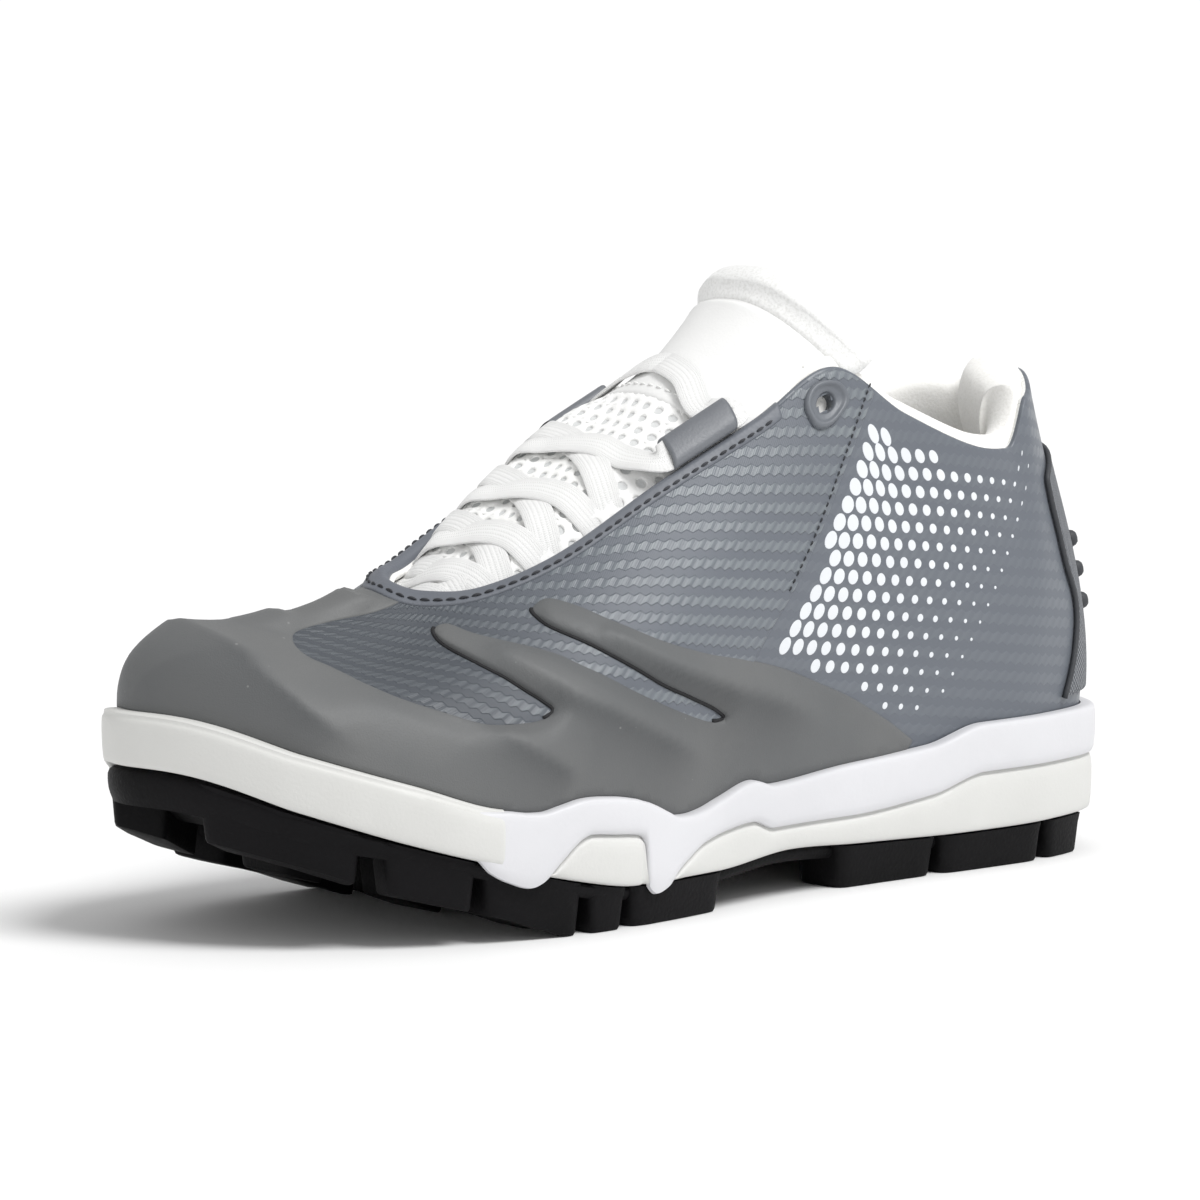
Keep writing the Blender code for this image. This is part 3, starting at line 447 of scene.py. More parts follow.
def build(name, points, faces, materials, nodes=(), chart=None, slots=None, sharp=None):
    """One piece of the shoe from points in millimetres."""
    mesh = bpy.data.meshes.new(name)
    places = (np.asarray(points, float).reshape(-1, 3) - CENTRE) * MM
    mesh.from_pydata(places.tolist(), [], faces)
    if slots is not None:
        mesh.polygons.foreach_set("material_index", np.asarray(slots, np.int32))
    if chart is not None:
        attribute = mesh.attributes.new("chart", "FLOAT_VECTOR", "POINT")
        attribute.data.foreach_set("vector", np.asarray(chart, np.float32).ravel())
    work = bmesh.new()
    work.from_mesh(mesh)
    bmesh.ops.recalc_face_normals(work, faces=work.faces)
    work.to_mesh(mesh)
    work.free()
    mesh.polygons.foreach_set("use_smooth", np.ones(len(mesh.polygons), bool))
    if sharp is not None:
        mesh.set_sharp_from_angle(angle=math.radians(sharp))
    for item in materials:
        mesh.materials.append(item)
    piece = bpy.data.objects.new(name, mesh)
    bpy.context.scene.collection.objects.link(piece)
    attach(piece, "root")
    if nodes:
        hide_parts(*nodes)
    return piece


def fan(first, count, centre):
    """Triangles from one ring of points to a centre point."""
    return [(first + k, first + (k + 1) % count, centre) for k in range(count)]


def swept(sections):
    """Points and faces of a solid along closed sections, with a fan over both ends."""
    sections = np.asarray(sections, float)
    rows, cols = sections.shape[:2]
    points = np.concatenate((sections.reshape(-1, 3), sections[[0, -1]].mean(axis=1)))
    faces = grid_faces(rows, cols, wrap_cols=True)
    faces += fan(0, cols, rows * cols)
    faces += fan((rows - 1) * cols, cols, rows * cols + 1)
    return points, faces


def across_strips(first, count):
    """Strips over a ring of ribs from each lateral rib to its medial partner."""
    half = count // 2
    faces = [(first, first + 1, first + count - 1)]
    for k in range(1, half - 1):
        faces.append((first + k, first + k + 1, first + count - k - 1, first + count - k))
    faces.append((first + half - 1, first + half, first + half + 1))
    return faces


def capped(rings):
    """Points and faces of a solid between rings of ribs, closed above and below."""
    rings = np.asarray(rings, float)
    rows, cols = rings.shape[:2]
    faces = grid_faces(rows, cols, wrap_cols=True)
    faces += across_strips(0, cols) + across_strips((rows - 1) * cols, cols)
    return rings.reshape(-1, 3), faces


def joined(parts):
    """Several point and face lists as one."""
    points, faces = [], []
    total = 0
    for part_points, part_faces in parts:
        part_points = np.asarray(part_points, float).reshape(-1, 3)
        faces += [tuple(k + total for k in face) for face in part_faces]
        points.append(part_points)
        total += len(part_points)
    return np.concatenate(points), faces


def rounded(points, passes):
    """Open polyline, as rows of points, with its corners cut; both ends stay."""
    points = np.asarray(points, float)
    for _ in range(passes):
        near = 0.75 * points[:-1] + 0.25 * points[1:]
        far = 0.25 * points[:-1] + 0.75 * points[1:]
        middle = np.stack((near, far), axis=1).reshape(-1, *points.shape[1:])
        points = np.concatenate((points[:1], middle[1:-1], points[-1:]))
    return points


def smooth_path(points, steps, closed=False):
    """Curve through points, with a number of steps between neighbours."""
    points = np.asarray(points, float)
    if not closed:
        points = np.concatenate((2 * points[:1] - points[1:2], points, 2 * points[-1:] - points[-2:-1]))
        spans = len(points) - 3
        t = np.arange(spans * steps + 1) / steps
        return np.stack([closed_curve(points[:, k], t + 1.0) for k in range(points.shape[1])], axis=-1)
    t = np.arange(len(points) * steps) / steps
    return np.stack([closed_curve(points[:, k], t) for k in range(points.shape[1])], axis=-1)


def even_path(points, spacing):
    """Points at even distances along a polyline."""
    points = np.asarray(points, float)
    length = np.concatenate(([0.0], np.cumsum(np.linalg.norm(np.diff(points, axis=0), axis=-1))))
    count = max(2, int(round(length[-1] / spacing)) + 1)
    at = np.linspace(0.0, length[-1], count)
    return np.stack([np.interp(at, length, points[:, k]) for k in range(points.shape[1])], axis=-1)


# Regions of the upper cut from its own chart


def inside(polygon, points):
    x, y = points[:, 0], points[:, 1]
    odd = np.zeros(len(points), bool)
    ends = np.roll(polygon, -1, axis=0)
    for (x0, y0), (x1, y1) in zip(polygon, ends):
        if y0 == y1:
            continue
        cut = ((y0 > y) != (y1 > y)) & (x < (x1 - x0) * (y - y0) / (y1 - y0) + x0)
        odd ^= cut
    return odd


def edge_distance(polygon, points, chosen=None):
    """Distance of points to a closed polygon, or to its chosen edges alone."""
    best = np.full(len(points), 1e9)
    ends = np.roll(polygon, -1, axis=0)
    for k in range(len(polygon)):
        if chosen is not None and not chosen[k]:
            continue
        a, step = polygon[k], ends[k] - polygon[k]
        t = np.clip(((points - a) @ step) / max(step @ step, 1e-12), 0.0, 1.0)
        best = np.minimum(best, np.linalg.norm(points - a - t[:, None] * step, axis=1))
    return best


def hex_grid(low, high, spacing):
    """Points of a triangular grid over a box."""
    rows = np.arange(low[1], high[1], spacing * 0.866)
    made = []
    for k, y in enumerate(rows):
        xs = np.arange(low[0] + 0.5 * spacing * (k % 2), high[0], spacing)
        made.append(stack(xs, y))
    return np.concatenate(made)


EDGE_RINGS = (0.1, 0.3, 0.65)


def chart_region(polygon, spacing, holes=()):
    """Points and triangles of a region, without what its holes, rings of points, take out."""
    edge_step = 0.5 * spacing + 0.25
    flat = even_path(np.concatenate((polygon, polygon[:1])), edge_step)[:-1]
    turn = np.roll(flat, -1, axis=0) - np.roll(flat, 1, axis=0)
    side = unit(stack(-turn[:, 1], turn[:, 0]))
    if not inside(flat, flat[:1] + 0.05 * side[:1])[0]:
        side = -side
    points = [flat]
    for depth in EDGE_RINGS:
        ring = flat + depth * side
        points.append(ring[inside(flat, ring) & (edge_distance(flat, ring) > 0.85 * depth)])
    grid = hex_grid(flat.min(axis=0), flat.max(axis=0), spacing)
    grid = grid[inside(flat, grid)]
    points.append(grid[edge_distance(flat, grid) > EDGE_RINGS[-1] + 0.4 * spacing])
    count = len(flat)
    edges = [(k, (k + 1) % count) for k in range(count)]
    points = np.concatenate(points)
    for hole in holes:
        edges += [(len(points) + k, len(points) + (k + 1) % len(hole)) for k in range(len(hole))]
        points = np.concatenate((points, hole))
    made = delaunay_2d_cdt([Vector(p) for p in points.tolist()], edges, [], 0, 1e-4)
    places = np.array([tuple(p) for p in made[0]])
    triangles = np.array(made[2])
    middle = places[triangles].mean(axis=1)
    kept = inside(flat, middle)
    for hole in holes:
        kept &= ~inside(hole, middle)
    used, triangles = np.unique(triangles[kept], return_inverse=True)
    return flat, places[used], triangles.reshape(-1, 3)


def chart_sheet(name, polygon, spacing, height, materials, nodes=(), holes=(), sunk=0.3, tone=None):
    """Closed sheet over a region of the upper; height(u, v, distance to the edge) is above the wall,
    tone(u, v), an amount of painted shade, goes to the third cloth coordinate."""
    flat, places, triangles = chart_region(polygon * CHART, spacing, holes)
    u, v = places[:, 0] / RIB_SPAN, places[:, 1] / WALL_SPAN
    tall = height(u, v, edge_distance(flat, places))
    outer, inner = face(u, v, tall), face(u, v, np.full_like(tall, -sunk))
    count = len(places)
    pairs = np.concatenate([triangles[:, (k, (k + 1) % 3)] for k in range(3)])
    used = set(map(tuple, pairs.tolist()))
    walls = [(b, a, count + a, count + b) for a, b in used if (b, a) not in used]
    faces = triangles.tolist() + (triangles[:, ::-1] + count).tolist() + walls
    chart = cloth_place(u, v)
    if tone is not None:
        chart[:, 2] = tone(u, v)
    chart = np.tile(chart, (2, 1))
    return build(name, np.concatenate((outer, inner)), faces, materials, nodes, chart)


def lip(distance, radius, tall, sunk=0.3):
    """Height near the edge of a sheet: a round shoulder from below the wall up to its full height."""
    t = np.clip(distance / radius, 0.0, 1.0)
    return -sunk + (tall + sunk) * np.sqrt(1.0 - (1.0 - t) ** 2)


# Materials


def ink(red, green, blue):
    """Linear colour, with full alpha, from screen values of 0 to 255."""
    shares = (value / 255.0 for value in (red, green, blue))
    return (*(c / 12.92 if c <= 0.04045 else ((c + 0.055) / 1.055) ** 2.4 for c in shares), 1.0)


def material(name, colour, roughness, sheen=0.0, specular=0.5):
    made = bpy.data.materials.new(name)
    made.use_nodes = True
    sockets = made.node_tree.nodes["Principled BSDF"].inputs
    sockets["Base Color"].default_value = colour
    sockets["Roughness"].default_value = roughness
    sockets["Sheen Weight"].default_value = sheen
    sockets["Sheen Roughness"].default_value = 0.4
    sockets["Specular IOR Level"].default_value = specular
    return made


def add(made, kind, inputs=None, **settings):
    """Node of a kind with values or links on its inputs."""
    node = made.node_tree.nodes.new("ShaderNode" + kind)
    for name, value in settings.items():
        setattr(node, name, value)
    for key, value in (inputs or {}).items():
        if isinstance(value, bpy.types.NodeSocket):
            made.node_tree.links.new(value, node.inputs[key])
        else:
            node.inputs[key].default_value = value
    return node


def calc(made, operation, a, b=0.0, c=0.0):
    return add(made, "Math", {0: a, 1: b, 2: c}, operation=operation).outputs[0]


def ramp(made, value, low, high):
    """Share from 0 to 1 of a value between two limits, softly."""
    inputs = {0: value, 1: low, 2: high, 3: 0.0, 4: 1.0}
    return add(made, "MapRange", inputs, interpolation_type="SMOOTHSTEP").outputs[0]


def noise(made, scale, detail=3.0, coords=None):
    """Noise over the shoe; scale counts waves in a metre."""
    source = coords or add(made, "TexCoord").outputs["Object"]
    return add(made, "TexNoise", {"Vector": source, "Scale": scale, "Detail": detail}).outputs[0]


def blend(made, share, first, second):
    inputs = {0: share, 6: first, 7: second}
    return add(made, "Mix", inputs, data_type="RGBA").outputs[2]


def shade(made, colour=None, roughness=None, bump=None, depth=0.0002, strength=1.0):
    """Links a colour, a roughness and a height onto the material's shader."""
    sockets = made.node_tree.nodes["Principled BSDF"].inputs
    links = made.node_tree.links
    if colour is not None:
        links.new(colour, sockets["Base Color"])
    if roughness is not None:
        links.new(roughness, sockets["Roughness"])
    if bump is not None:
        inputs = {"Height": bump, "Distance": depth, "Strength": strength}
        links.new(add(made, "Bump", inputs).outputs[0], sockets["Normal"])
    return made


def chart_axes(made):
    """The piece's own cloth coordinates in millimetres, and the amount of painted shade that a sheet may
    carry.
    """
    place = add(made, "Attribute", attribute_name="chart").outputs["Vector"]
    axes = add(made, "SeparateXYZ", {0: place})
    return axes.outputs[0], axes.outputs[1], axes.outputs[2]


ROW_PITCH = 4.7
CELL_PITCH = 3.2


def weave_material(name, contrast):
    """Carbon-look twill: chains of slanted cells between smooth bands of fine thread, with painted shade
    toward the toe.
    """
    made = material(name, ink(104, 108, 117), 0.46, sheen=0.05)
    x, y, _ = chart_axes(made)
    row = calc(made, "FRACT", calc(made, "DIVIDE", y, ROW_PITCH))
    off_row = calc(made, "SUBTRACT", row, 0.5)
    away = calc(made, "MULTIPLY", calc(made, "ABSOLUTE", off_row), 2.0)
    zigzag = calc(made, "DIVIDE", calc(made, "PINGPONG", x, 0.5 * CELL_PITCH), 0.5 * CELL_PITCH)
    edge = calc(made, "MULTIPLY_ADD", zigzag, 0.34, away)
    chain = calc(made, "SUBTRACT", 1.0, ramp(made, edge, 0.62, 0.78))
    slanted = calc(made, "MULTIPLY_ADD", off_row, 0.9, calc(made, "DIVIDE", x, CELL_PITCH))
    cell = calc(made, "PINGPONG", slanted, 0.5)
    thread = calc(made, "SINE", calc(made, "MULTIPLY_ADD", x, 11.0, calc(made, "MULTIPLY", y, 7.0)))
    band = calc(made, "MULTIPLY_ADD", thread, 0.06, 0.18)
    raised = calc(made, "MULTIPLY_ADD", ramp(made, cell, 0.02, 0.4), 0.5, 0.5)
    height = calc(made, "ADD", calc(made, "MULTIPLY", chain, raised), band)
    patches = noise(made, 35.0, 2.0)
    lit = calc(made, "MULTIPLY", chain, calc(made, "MULTIPLY_ADD", ramp(made, cell, 0.1, 0.45), 0.5, 0.3))
    share = calc(made, "MULTIPLY", calc(made, "MULTIPLY_ADD", patches, 1.2, 0.1), lit)
    # Painted shade toward the toe: the cloth's base tone and its cells' lighter share fall off from the rear
    # toward the toe.
    spot = add(made, "SeparateXYZ", {0: add(made, "TexCoord").outputs["Object"]}).outputs[1]
    rearward_of_toe_shade = ramp(made, spot, -0.085, -0.02)
    base = blend(made, rearward_of_toe_shade, ink(66, 71, 78), ink(99, 104, 112))
    share = calc(made, "MULTIPLY", share, calc(made, "MULTIPLY_ADD", rearward_of_toe_shade, 0.7, 0.3))
    colour = blend(made, calc(made, "MULTIPLY", share, contrast), base, ink(138, 145, 148))
    rough = calc(made, "MULTIPLY_ADD", chain, -0.12, 0.5)
    return shade(made, colour, rough, height, 0.00028 * contrast, 0.9)


def grain_material(name, dark, light, roughness, scale, depth, sheen=0.0, specular=0.5):
    """Moulded or coated surface: fine grain, and a slow change of tone."""
    made = material(name, dark, roughness, sheen, specular)
    slow = ramp(made, noise(made, 28.0, 4.0), 0.3, 0.7)
    fine = noise(made, scale, 2.0)
    rough = calc(made, "MULTIPLY_ADD", fine, 0.16, roughness - 0.08)
    return shade(made, blend(made, slow, dark, light), rough, fine, depth, 0.7)


def guard_material():
    """Matte rubber with a fine tooth and a few specks of dust, darker below its crests with painted shade."""
    made = material("guard_rubber_skin", ink(110, 111, 111), 0.56, specular=0.45)
    slow = ramp(made, noise(made, 22.0, 4.0), 0.3, 0.7)
    fine = noise(made, 2600.0, 2.0)
    dust = ramp(made, noise(made, 700.0, 0.0), 0.87, 0.9)
    tone = blend(made, slow, ink(96, 98, 99), ink(104, 105, 105))
    # Painted shade below the crests: the amount the sheet carries darkens the tone toward ink(73, 75, 77).
    _, _, painted_crest_shade = chart_axes(made)
    tone = blend(made, calc(made, "MULTIPLY", painted_crest_shade, 0.75), tone, ink(73, 75, 77))
    colour = blend(made, calc(made, "MULTIPLY", dust, 0.2), tone, ink(190, 190, 188))
    rough = calc(made, "MULTIPLY_ADD", fine, 0.2, 0.47)
    return shade(made, colour, rough, fine, 0.00012, 0.6)


def pile_material(name, dark, light, scale):
    """Brushed fleece: short tufts that catch light at the edge."""
    made = material(name, light, 0.95, sheen=0.35, specular=0.15)
    tufts = noise(made, scale, 4.0)
    lumps = noise(made, 0.2 * scale, 3.0)
    height = calc(made, "MULTIPLY_ADD", tufts, 0.6, lumps)
    tone = ramp(made, tufts, 0.3, 0.6)
    return shade(made, blend(made, tone, dark, light), None, height, 0.00026, 0.7)


def knit_material(name, dark, light, pitch):
    """Ribbed knit on the piece's own coordinates: x along, y across."""
    made = material(name, light, 0.85, sheen=0.2, specular=0.2)
    x, y, _ = chart_axes(made)
    rib = calc(made, "PINGPONG", calc(made, "DIVIDE", y, pitch), 0.5)
    lean = calc(made, "MULTIPLY_ADD", rib, 1.6, calc(made, "DIVIDE", x, 0.75 * pitch))
    loop = calc(made, "PINGPONG", lean, 0.5)
    height = calc(made, "ADD", ramp(made, rib, 0.0, 0.35), ramp(made, loop, 0.0, 0.4))
    colour = blend(made, ramp(made, height, 0.1, 0.9), dark, light)
    return shade(made, colour, None, height, 0.00012, 0.6)


def strip_material():
    """Coarse basket weave of the heel strip."""
    made = material("strip_weave", ink(120, 123, 128), 0.8, sheen=0.15, specular=0.25)
    x, y, _ = chart_axes(made)
    warp = calc(made, "SINE", calc(made, "MULTIPLY", x, 4.6))
    weft = calc(made, "SINE", calc(made, "MULTIPLY", y, 4.6))
    height = calc(made, "MULTIPLY", warp, weft)
    tone = ramp(made, calc(made, "ADD", height, noise(made, 600.0)), -0.4, 1.3)
    colour = blend(made, tone, ink(92, 95, 100), ink(138, 141, 146))
    return shade(made, colour, None, height, 0.0004, 0.9)


# Grained surfaces: name, darker tone, lighter tone, roughness, waves of grain in a metre, depth of the grain,
# then sheen and specular where they differ from the usual
GRAINS = {
    "edging": ("edging_synthetic", ink(98, 102, 110), ink(108, 112, 119), 0.5, 1500.0, 0.0001),
    "foam": ("foam_white", ink(208, 208, 205), ink(213, 213, 210), 0.55, 1300.0, 0.00008),
    "frame": ("frame_white_skin", ink(212, 212, 215), ink(217, 217, 220), 0.42, 900.0, 0.00005),
    "rubber": ("outsole_black", ink(10, 10, 11), ink(16, 15, 17), 0.6, 1100.0, 0.0002, 0.0, 0.12),
    "mesh": ("tongue_mesh_white", ink(246, 246, 244), ink(250, 250, 249), 0.8, 1800.0, 0.00015, 0.15, 0.2),
    "under": ("tongue_body_white", ink(206, 208, 208), ink(218, 219, 219), 0.9, 1400.0, 0.0002),
    "panel": ("tongue_panel_white", ink(233, 233, 232), ink(239, 239, 238), 0.5, 1700.0, 0.00008, 0.0, 0.35),
    "tunnel": ("tunnel_synthetic", ink(104, 107, 112), ink(116, 119, 124), 0.45, 1500.0, 0.00012),
    # Painted shade: near black for the tunnels' insides and for the shadow line under the guard's proud
    # edges.
    "dark": ("painted_shadow_black", ink(26, 26, 28), ink(38, 38, 41), 0.8, 900.0, 0.0002),
    "eyelet": ("eyelet_moulded", ink(96, 100, 107), ink(108, 112, 118), 0.42, 1600.0, 0.00006),
    "thread": ("thread_dark", ink(38, 40, 45), ink(58, 60, 66), 0.7, 2200.0, 0.0001, 0.2),
    "light_thread": ("thread_white", ink(226, 226, 225), ink(246, 246, 244), 0.8, 2200.0, 0.0001, 0.2),
    "piping": ("piping_dark", ink(52, 54, 58), ink(66, 68, 72), 0.6, 1800.0, 0.00015),
    "print": ("print_white", ink(222, 225, 229), ink(228, 231, 234), 0.4, 1200.0, 0.00003),
}
PAINT = {key: grain_material(*row) for key, row in GRAINS.items()}
PAINT["weave"] = weave_material("panel_weave", 0.88)
# Painted light: a dimmer copy of the same weave, its cells' lighter share cut to 0.22 where the rear quarter
# catches less light; its grain bump is shallower too.
PAINT["quarter"] = weave_material("quarter_weave", 0.22)
PAINT["guard"] = guard_material()
PAINT["strip"] = strip_material()
PAINT["inner"] = knit_material("inner_lining", ink(206, 206, 204), ink(238, 238, 236), 1.1)
PAINT["lace"] = knit_material("lace_weave", ink(226, 226, 225), ink(238, 238, 237), 0.65)
PAINT["insole"] = knit_material("insole_cover", ink(150, 152, 156), ink(186, 188, 190), 1.3)
PAINT["pile"] = pile_material("lining_pile", ink(247, 246, 242), ink(254, 253, 250), 1500.0)
PAINT["roll"] = pile_material("tongue_roll_pile", ink(228, 228, 226), ink(241, 241, 240), 1500.0)


# Upper

EYELET_RIB = 5.2
EYELET_SHARE = 0.925
EYELET_RADIUS = 6.0
EYELET_POINT = 0.1
EYELET_HOLE = 2.6
EYELET_LONG = 1.12
EYELET_HIGH = 0.94
# Eyelet from its outer edge over the rim and into the hole: share of the way out, height over the wall
EYELET_PROFILE = (
    (1.0, 0.2),
    (1.0, 0.75),
    (0.95, 1.3),
    (0.84, 1.7),
    (0.7, 1.75),
    (0.58, 1.5),
    (0.5, 1.1),
    (0.3, 0.85),
    (0.1, 0.75),
    (0.0, 0.4),
    (0.0, -3.4),
    (0.45, -3.4),
    (0.5, -2.5),
    (0.55, 0.1),
)
PANEL_TALL = 0.45
PANEL_TOP_RIB = 4.55
PANEL_FOOT_RIB = 6.5
EDGING_WIDE = 3.1
EDGING_RIB = 5.75

# Rear edge of the front panel: rib, share
PANEL_EDGE = (
    ("collar", 4.43, 0.986),
    ("below collar", 4.75, 0.86),
    ("upper quarter", 5.05, 0.74),
    ("quarter", 5.3, 0.62),
    ("lower quarter", 5.55, 0.5),
    ("behind guard", 5.8, 0.4),
    ("under guard", 6.15, 0.2),
    ("foot", 6.35, 0.03),
)

# Edging over the throat's edge: distance below the lip, height over the wall
EDGING_SECTION = (
    (3.2, 0.1),
    (3.1, 0.72),
    (2.7, 0.95),
    (1.9, 1.02),
    (0.9, 1.0),
    (0.1, 0.85),
    (-0.75, 0.2),
    (-1.25, -1.1),
    (-0.75, -2.4),
    (0.4, -2.8),
    (2.0, -2.75),
    (2.3, -1.6),
    (3.0, -0.8),
)


def wall_length(u):
    return np.interp(np.asarray(u, float) % RIB_COUNT, LOOK_RIBS, CLOTH_ROWS[:, -1] - CLOTH_ROWS[:, 0])


def below_lip(u, down, offset):
    """Point a distance below the lip of the opening, or above it where down is negative."""
    u, down, offset = matched(u, down, offset)
    v = LIP_SHARE - np.maximum(down, 0.0) / wall_length(u)
    rise = np.maximum(-down, 0.0)[..., None] * unit(wall_up(u, np.full_like(u, LIP_SHARE)))
    return skin(u, v, offset) + rise


def wall_scale(u, v):
    """Millimetres along the upper for one rib and for one share."""
    rib_mm = np.linalg.norm(wall_point(u + 0.05, v) - wall_point(u - 0.05, v)) / 0.1
    return rib_mm, np.linalg.norm(wall_up(u, v)) / 0.02


def beside(u, v, along, rise, offset):
    """Point over the upper at distances in millimetres from a rib and share."""
    rib_mm, share_mm = wall_scale(u, v)
    return face(u + along / rib_mm, v + rise / share_mm, offset)


def make_upper():
    """Shell of the upper: outer cloth, rolled lip and white inside, open underneath."""
    ribs = ring_ribs(616)
    shares = np.linspace(0.0, LIP_SHARE, 64)
    rings = [face(ribs, v, 0.0) for v in shares]
    lip_turns = np.radians((30.0, 60.0, 90.0, 120.0, 150.0))
    for turn in lip_turns:
        rings.append(below_lip(ribs, -LIP_RISE * np.sin(turn), 0.5 * WALL * (np.cos(turn) - 1.0)))
    inner_shares = np.linspace(LIP_SHARE, 0.0, 24)
    rings += [skin(ribs, v, -WALL) for v in inner_shares]
    rings[-1][:, 2] = rings[0][:, 2]
    points = np.array(rings)
    steps = np.concatenate((shares, np.full(len(lip_turns), LIP_SHARE), inner_shares))
    chart = cloth_place(ribs[None, :], steps[:, None])
    faces = grid_faces(len(rings), len(ribs), wrap_rows=True, wrap_cols=True)
    flat = points.reshape(-1, 3)
    quads = np.array(faces)
    middle = flat[quads].mean(axis=1)
    kept = np.ones(len(quads), bool)
    for u in (EYELET_RIB, mirrored(EYELET_RIB)):
        away = middle - wall_point(u, EYELET_SHARE)
        normal = wall_normal(u, EYELET_SHARE)
        depth = away @ normal
        kept &= (np.linalg.norm(away - depth[:, None] * normal, axis=1) > EYELET_HOLE) | (np.abs(depth) > 6.0)
    first_inside = (len(shares) + 2) * len(ribs)
    slots = (quads[kept][:, 0] >= first_inside).astype(int)
    build("upper_shell", flat, quads[kept].tolist(), [PAINT["quarter"], PAINT["inner"]],
          ["upper"], chart, slots)


def eyelet_ring(u, radius, sides):
    turns = full_turn(sides)
    rib_mm, share_mm = wall_scale(u, EYELET_SHARE)
    around_hole = stack(np.cos(turns) / rib_mm, np.sin(turns) / share_mm) * radius
    return (np.array((u, EYELET_SHARE)) + around_hole) * CHART


def make_front_panel():
    """Woven front panel, laid over the shell up to the slanted seam of the rear quarter."""
    edge = smooth_path(numbers(PANEL_EDGE), 8)
    top = stack(np.linspace(PANEL_TOP_RIB, mirrored(PANEL_TOP_RIB), 130), PANEL_EDGE[0][2])
    low = stack(np.linspace(mirrored(PANEL_FOOT_RIB), PANEL_FOOT_RIB, 90), PANEL_EDGE[-1][2])
    far = stack(mirrored(edge[:, 0]), edge[:, 1])
    polygon = np.concatenate((top, far, low, edge[::-1]))
    holes = [eyelet_ring(u, EYELET_HOLE + 0.5, 20) for u in (EYELET_RIB, mirrored(EYELET_RIB))]
    chart_sheet("front_panel", polygon, 2.2, lambda u, v, d: lip(d, 0.5, PANEL_TALL),
                [PAINT["weave"]], holes=holes)


def make_edging():
    """Folded edge of the throat, from one lace tunnel round the vamp to the other."""
    ribs = np.linspace(EDGING_RIB, mirrored(EDGING_RIB), 420)
    section = smooth_path(np.array(EDGING_SECTION), 3, closed=True)
    sections = np.stack([below_lip(ribs, down, tall) for down, tall in section], axis=1)
    points, faces = swept(sections)
    build("throat_edging", points, faces, [PAINT["edging"]])


# Toe guard

# Free edge of the toe guard on one side, from its tail to the throat: stretch, then its ribs and shares
GUARD_EDGE = (
    ("tail", (3.66, 0.09), (4.0, 0.155), (4.45, 0.215)),
    ("finger two back", (5.0, 0.265), (5.6, 0.325)),
    ("finger two top", (6.22, 0.388), (6.64, 0.438), (7.17, 0.528), (7.64, 0.655), (7.99, 0.78),
     (8.26, 0.856)),
    ("finger two tip", (8.44, 0.838)),
    ("finger two under", (8.38, 0.785), (8.24, 0.722), (7.93, 0.62), (7.56, 0.505), (7.1, 0.39),
     (6.68, 0.318), (6.31, 0.262)),
    ("slot two end", (6.16, 0.232)),
    ("finger one top", (6.38, 0.24), (6.9, 0.308), (7.39, 0.396), (7.89, 0.522), (8.22, 0.62), (8.6, 0.712),
     (9.04, 0.8), (9.42, 0.878)),
    ("finger one tip", (9.63, 0.868)),
    ("finger one under", (9.52, 0.815), (9.28, 0.738), (8.98, 0.645), (8.7, 0.568), (8.48, 0.497),
     (8.31, 0.442)),
    ("slot one end", (8.2, 0.398)),
    ("window low edge", (8.32, 0.376), (8.57, 0.378), (8.84, 0.38), (9.15, 0.408), (9.46, 0.452),
     (9.83, 0.528), (10.18, 0.588), (10.36, 0.605)),
    ("window front", (10.56, 0.66), (10.69, 0.73), (10.68, 0.83), (10.51, 0.915)),
    ("throat", (10.38, 0.955)),
)
PROUD_WORDS = ("under", "tip", "slot")
GUARD_SPOTS = np.array([spot for _, *spots in GUARD_EDGE for spot in spots])
GUARD_PROUD = [any(word in name for word in PROUD_WORDS) for name, *spots in GUARD_EDGE for _ in spots]
TAIL_SPOTS = 10
GUARD_TALL = 2.05
GUARD_FLUSH = 0.72
GUARD_FADE = 8.0
GUARD_TOE_DROP = 1.2
# Reach of the painted shade below a crest, in widths of its steep side
CREST_SHADE_REACH = 2.2

# Crests of the guard: name, height, width ahead of the line, width behind it, then its ribs and shares
GUARD_CRESTS = (
    ("toe crest", 2.7, 7.0, 8.0, (11.0, 0.46), (10.53, 0.424), (10.28, 0.338), (10.02, 0.272), (9.7, 0.2),
     (9.46, 0.155)),
    ("cap hump", 2.1, 9.0, 1.9, (11.0, 0.745), (10.86, 0.745), (10.74, 0.735), (10.6, 0.7)),
    ("vamp step", 2.7, 6.0, 1.6, (11.0, 0.9), (10.85, 0.905), (10.6, 0.925)),
    ("finger one crest", 2.4, 3.4, 12.0, (9.1, 0.725), (8.7, 0.61), (8.14, 0.445), (7.65, 0.346),
     (6.95, 0.23), (6.17, 0.135)),
    ("finger two crest", 2.4, 3.4, 12.0, (8.0, 0.67), (7.7, 0.582), (7.09, 0.438), (6.26, 0.318),
     (5.34, 0.223), (4.75, 0.165)),
    ("low crest", 2.2, 3.4, 10.0, (8.9, 0.4), (8.71, 0.362), (8.45, 0.29), (8.07, 0.205), (7.82, 0.155)),
)


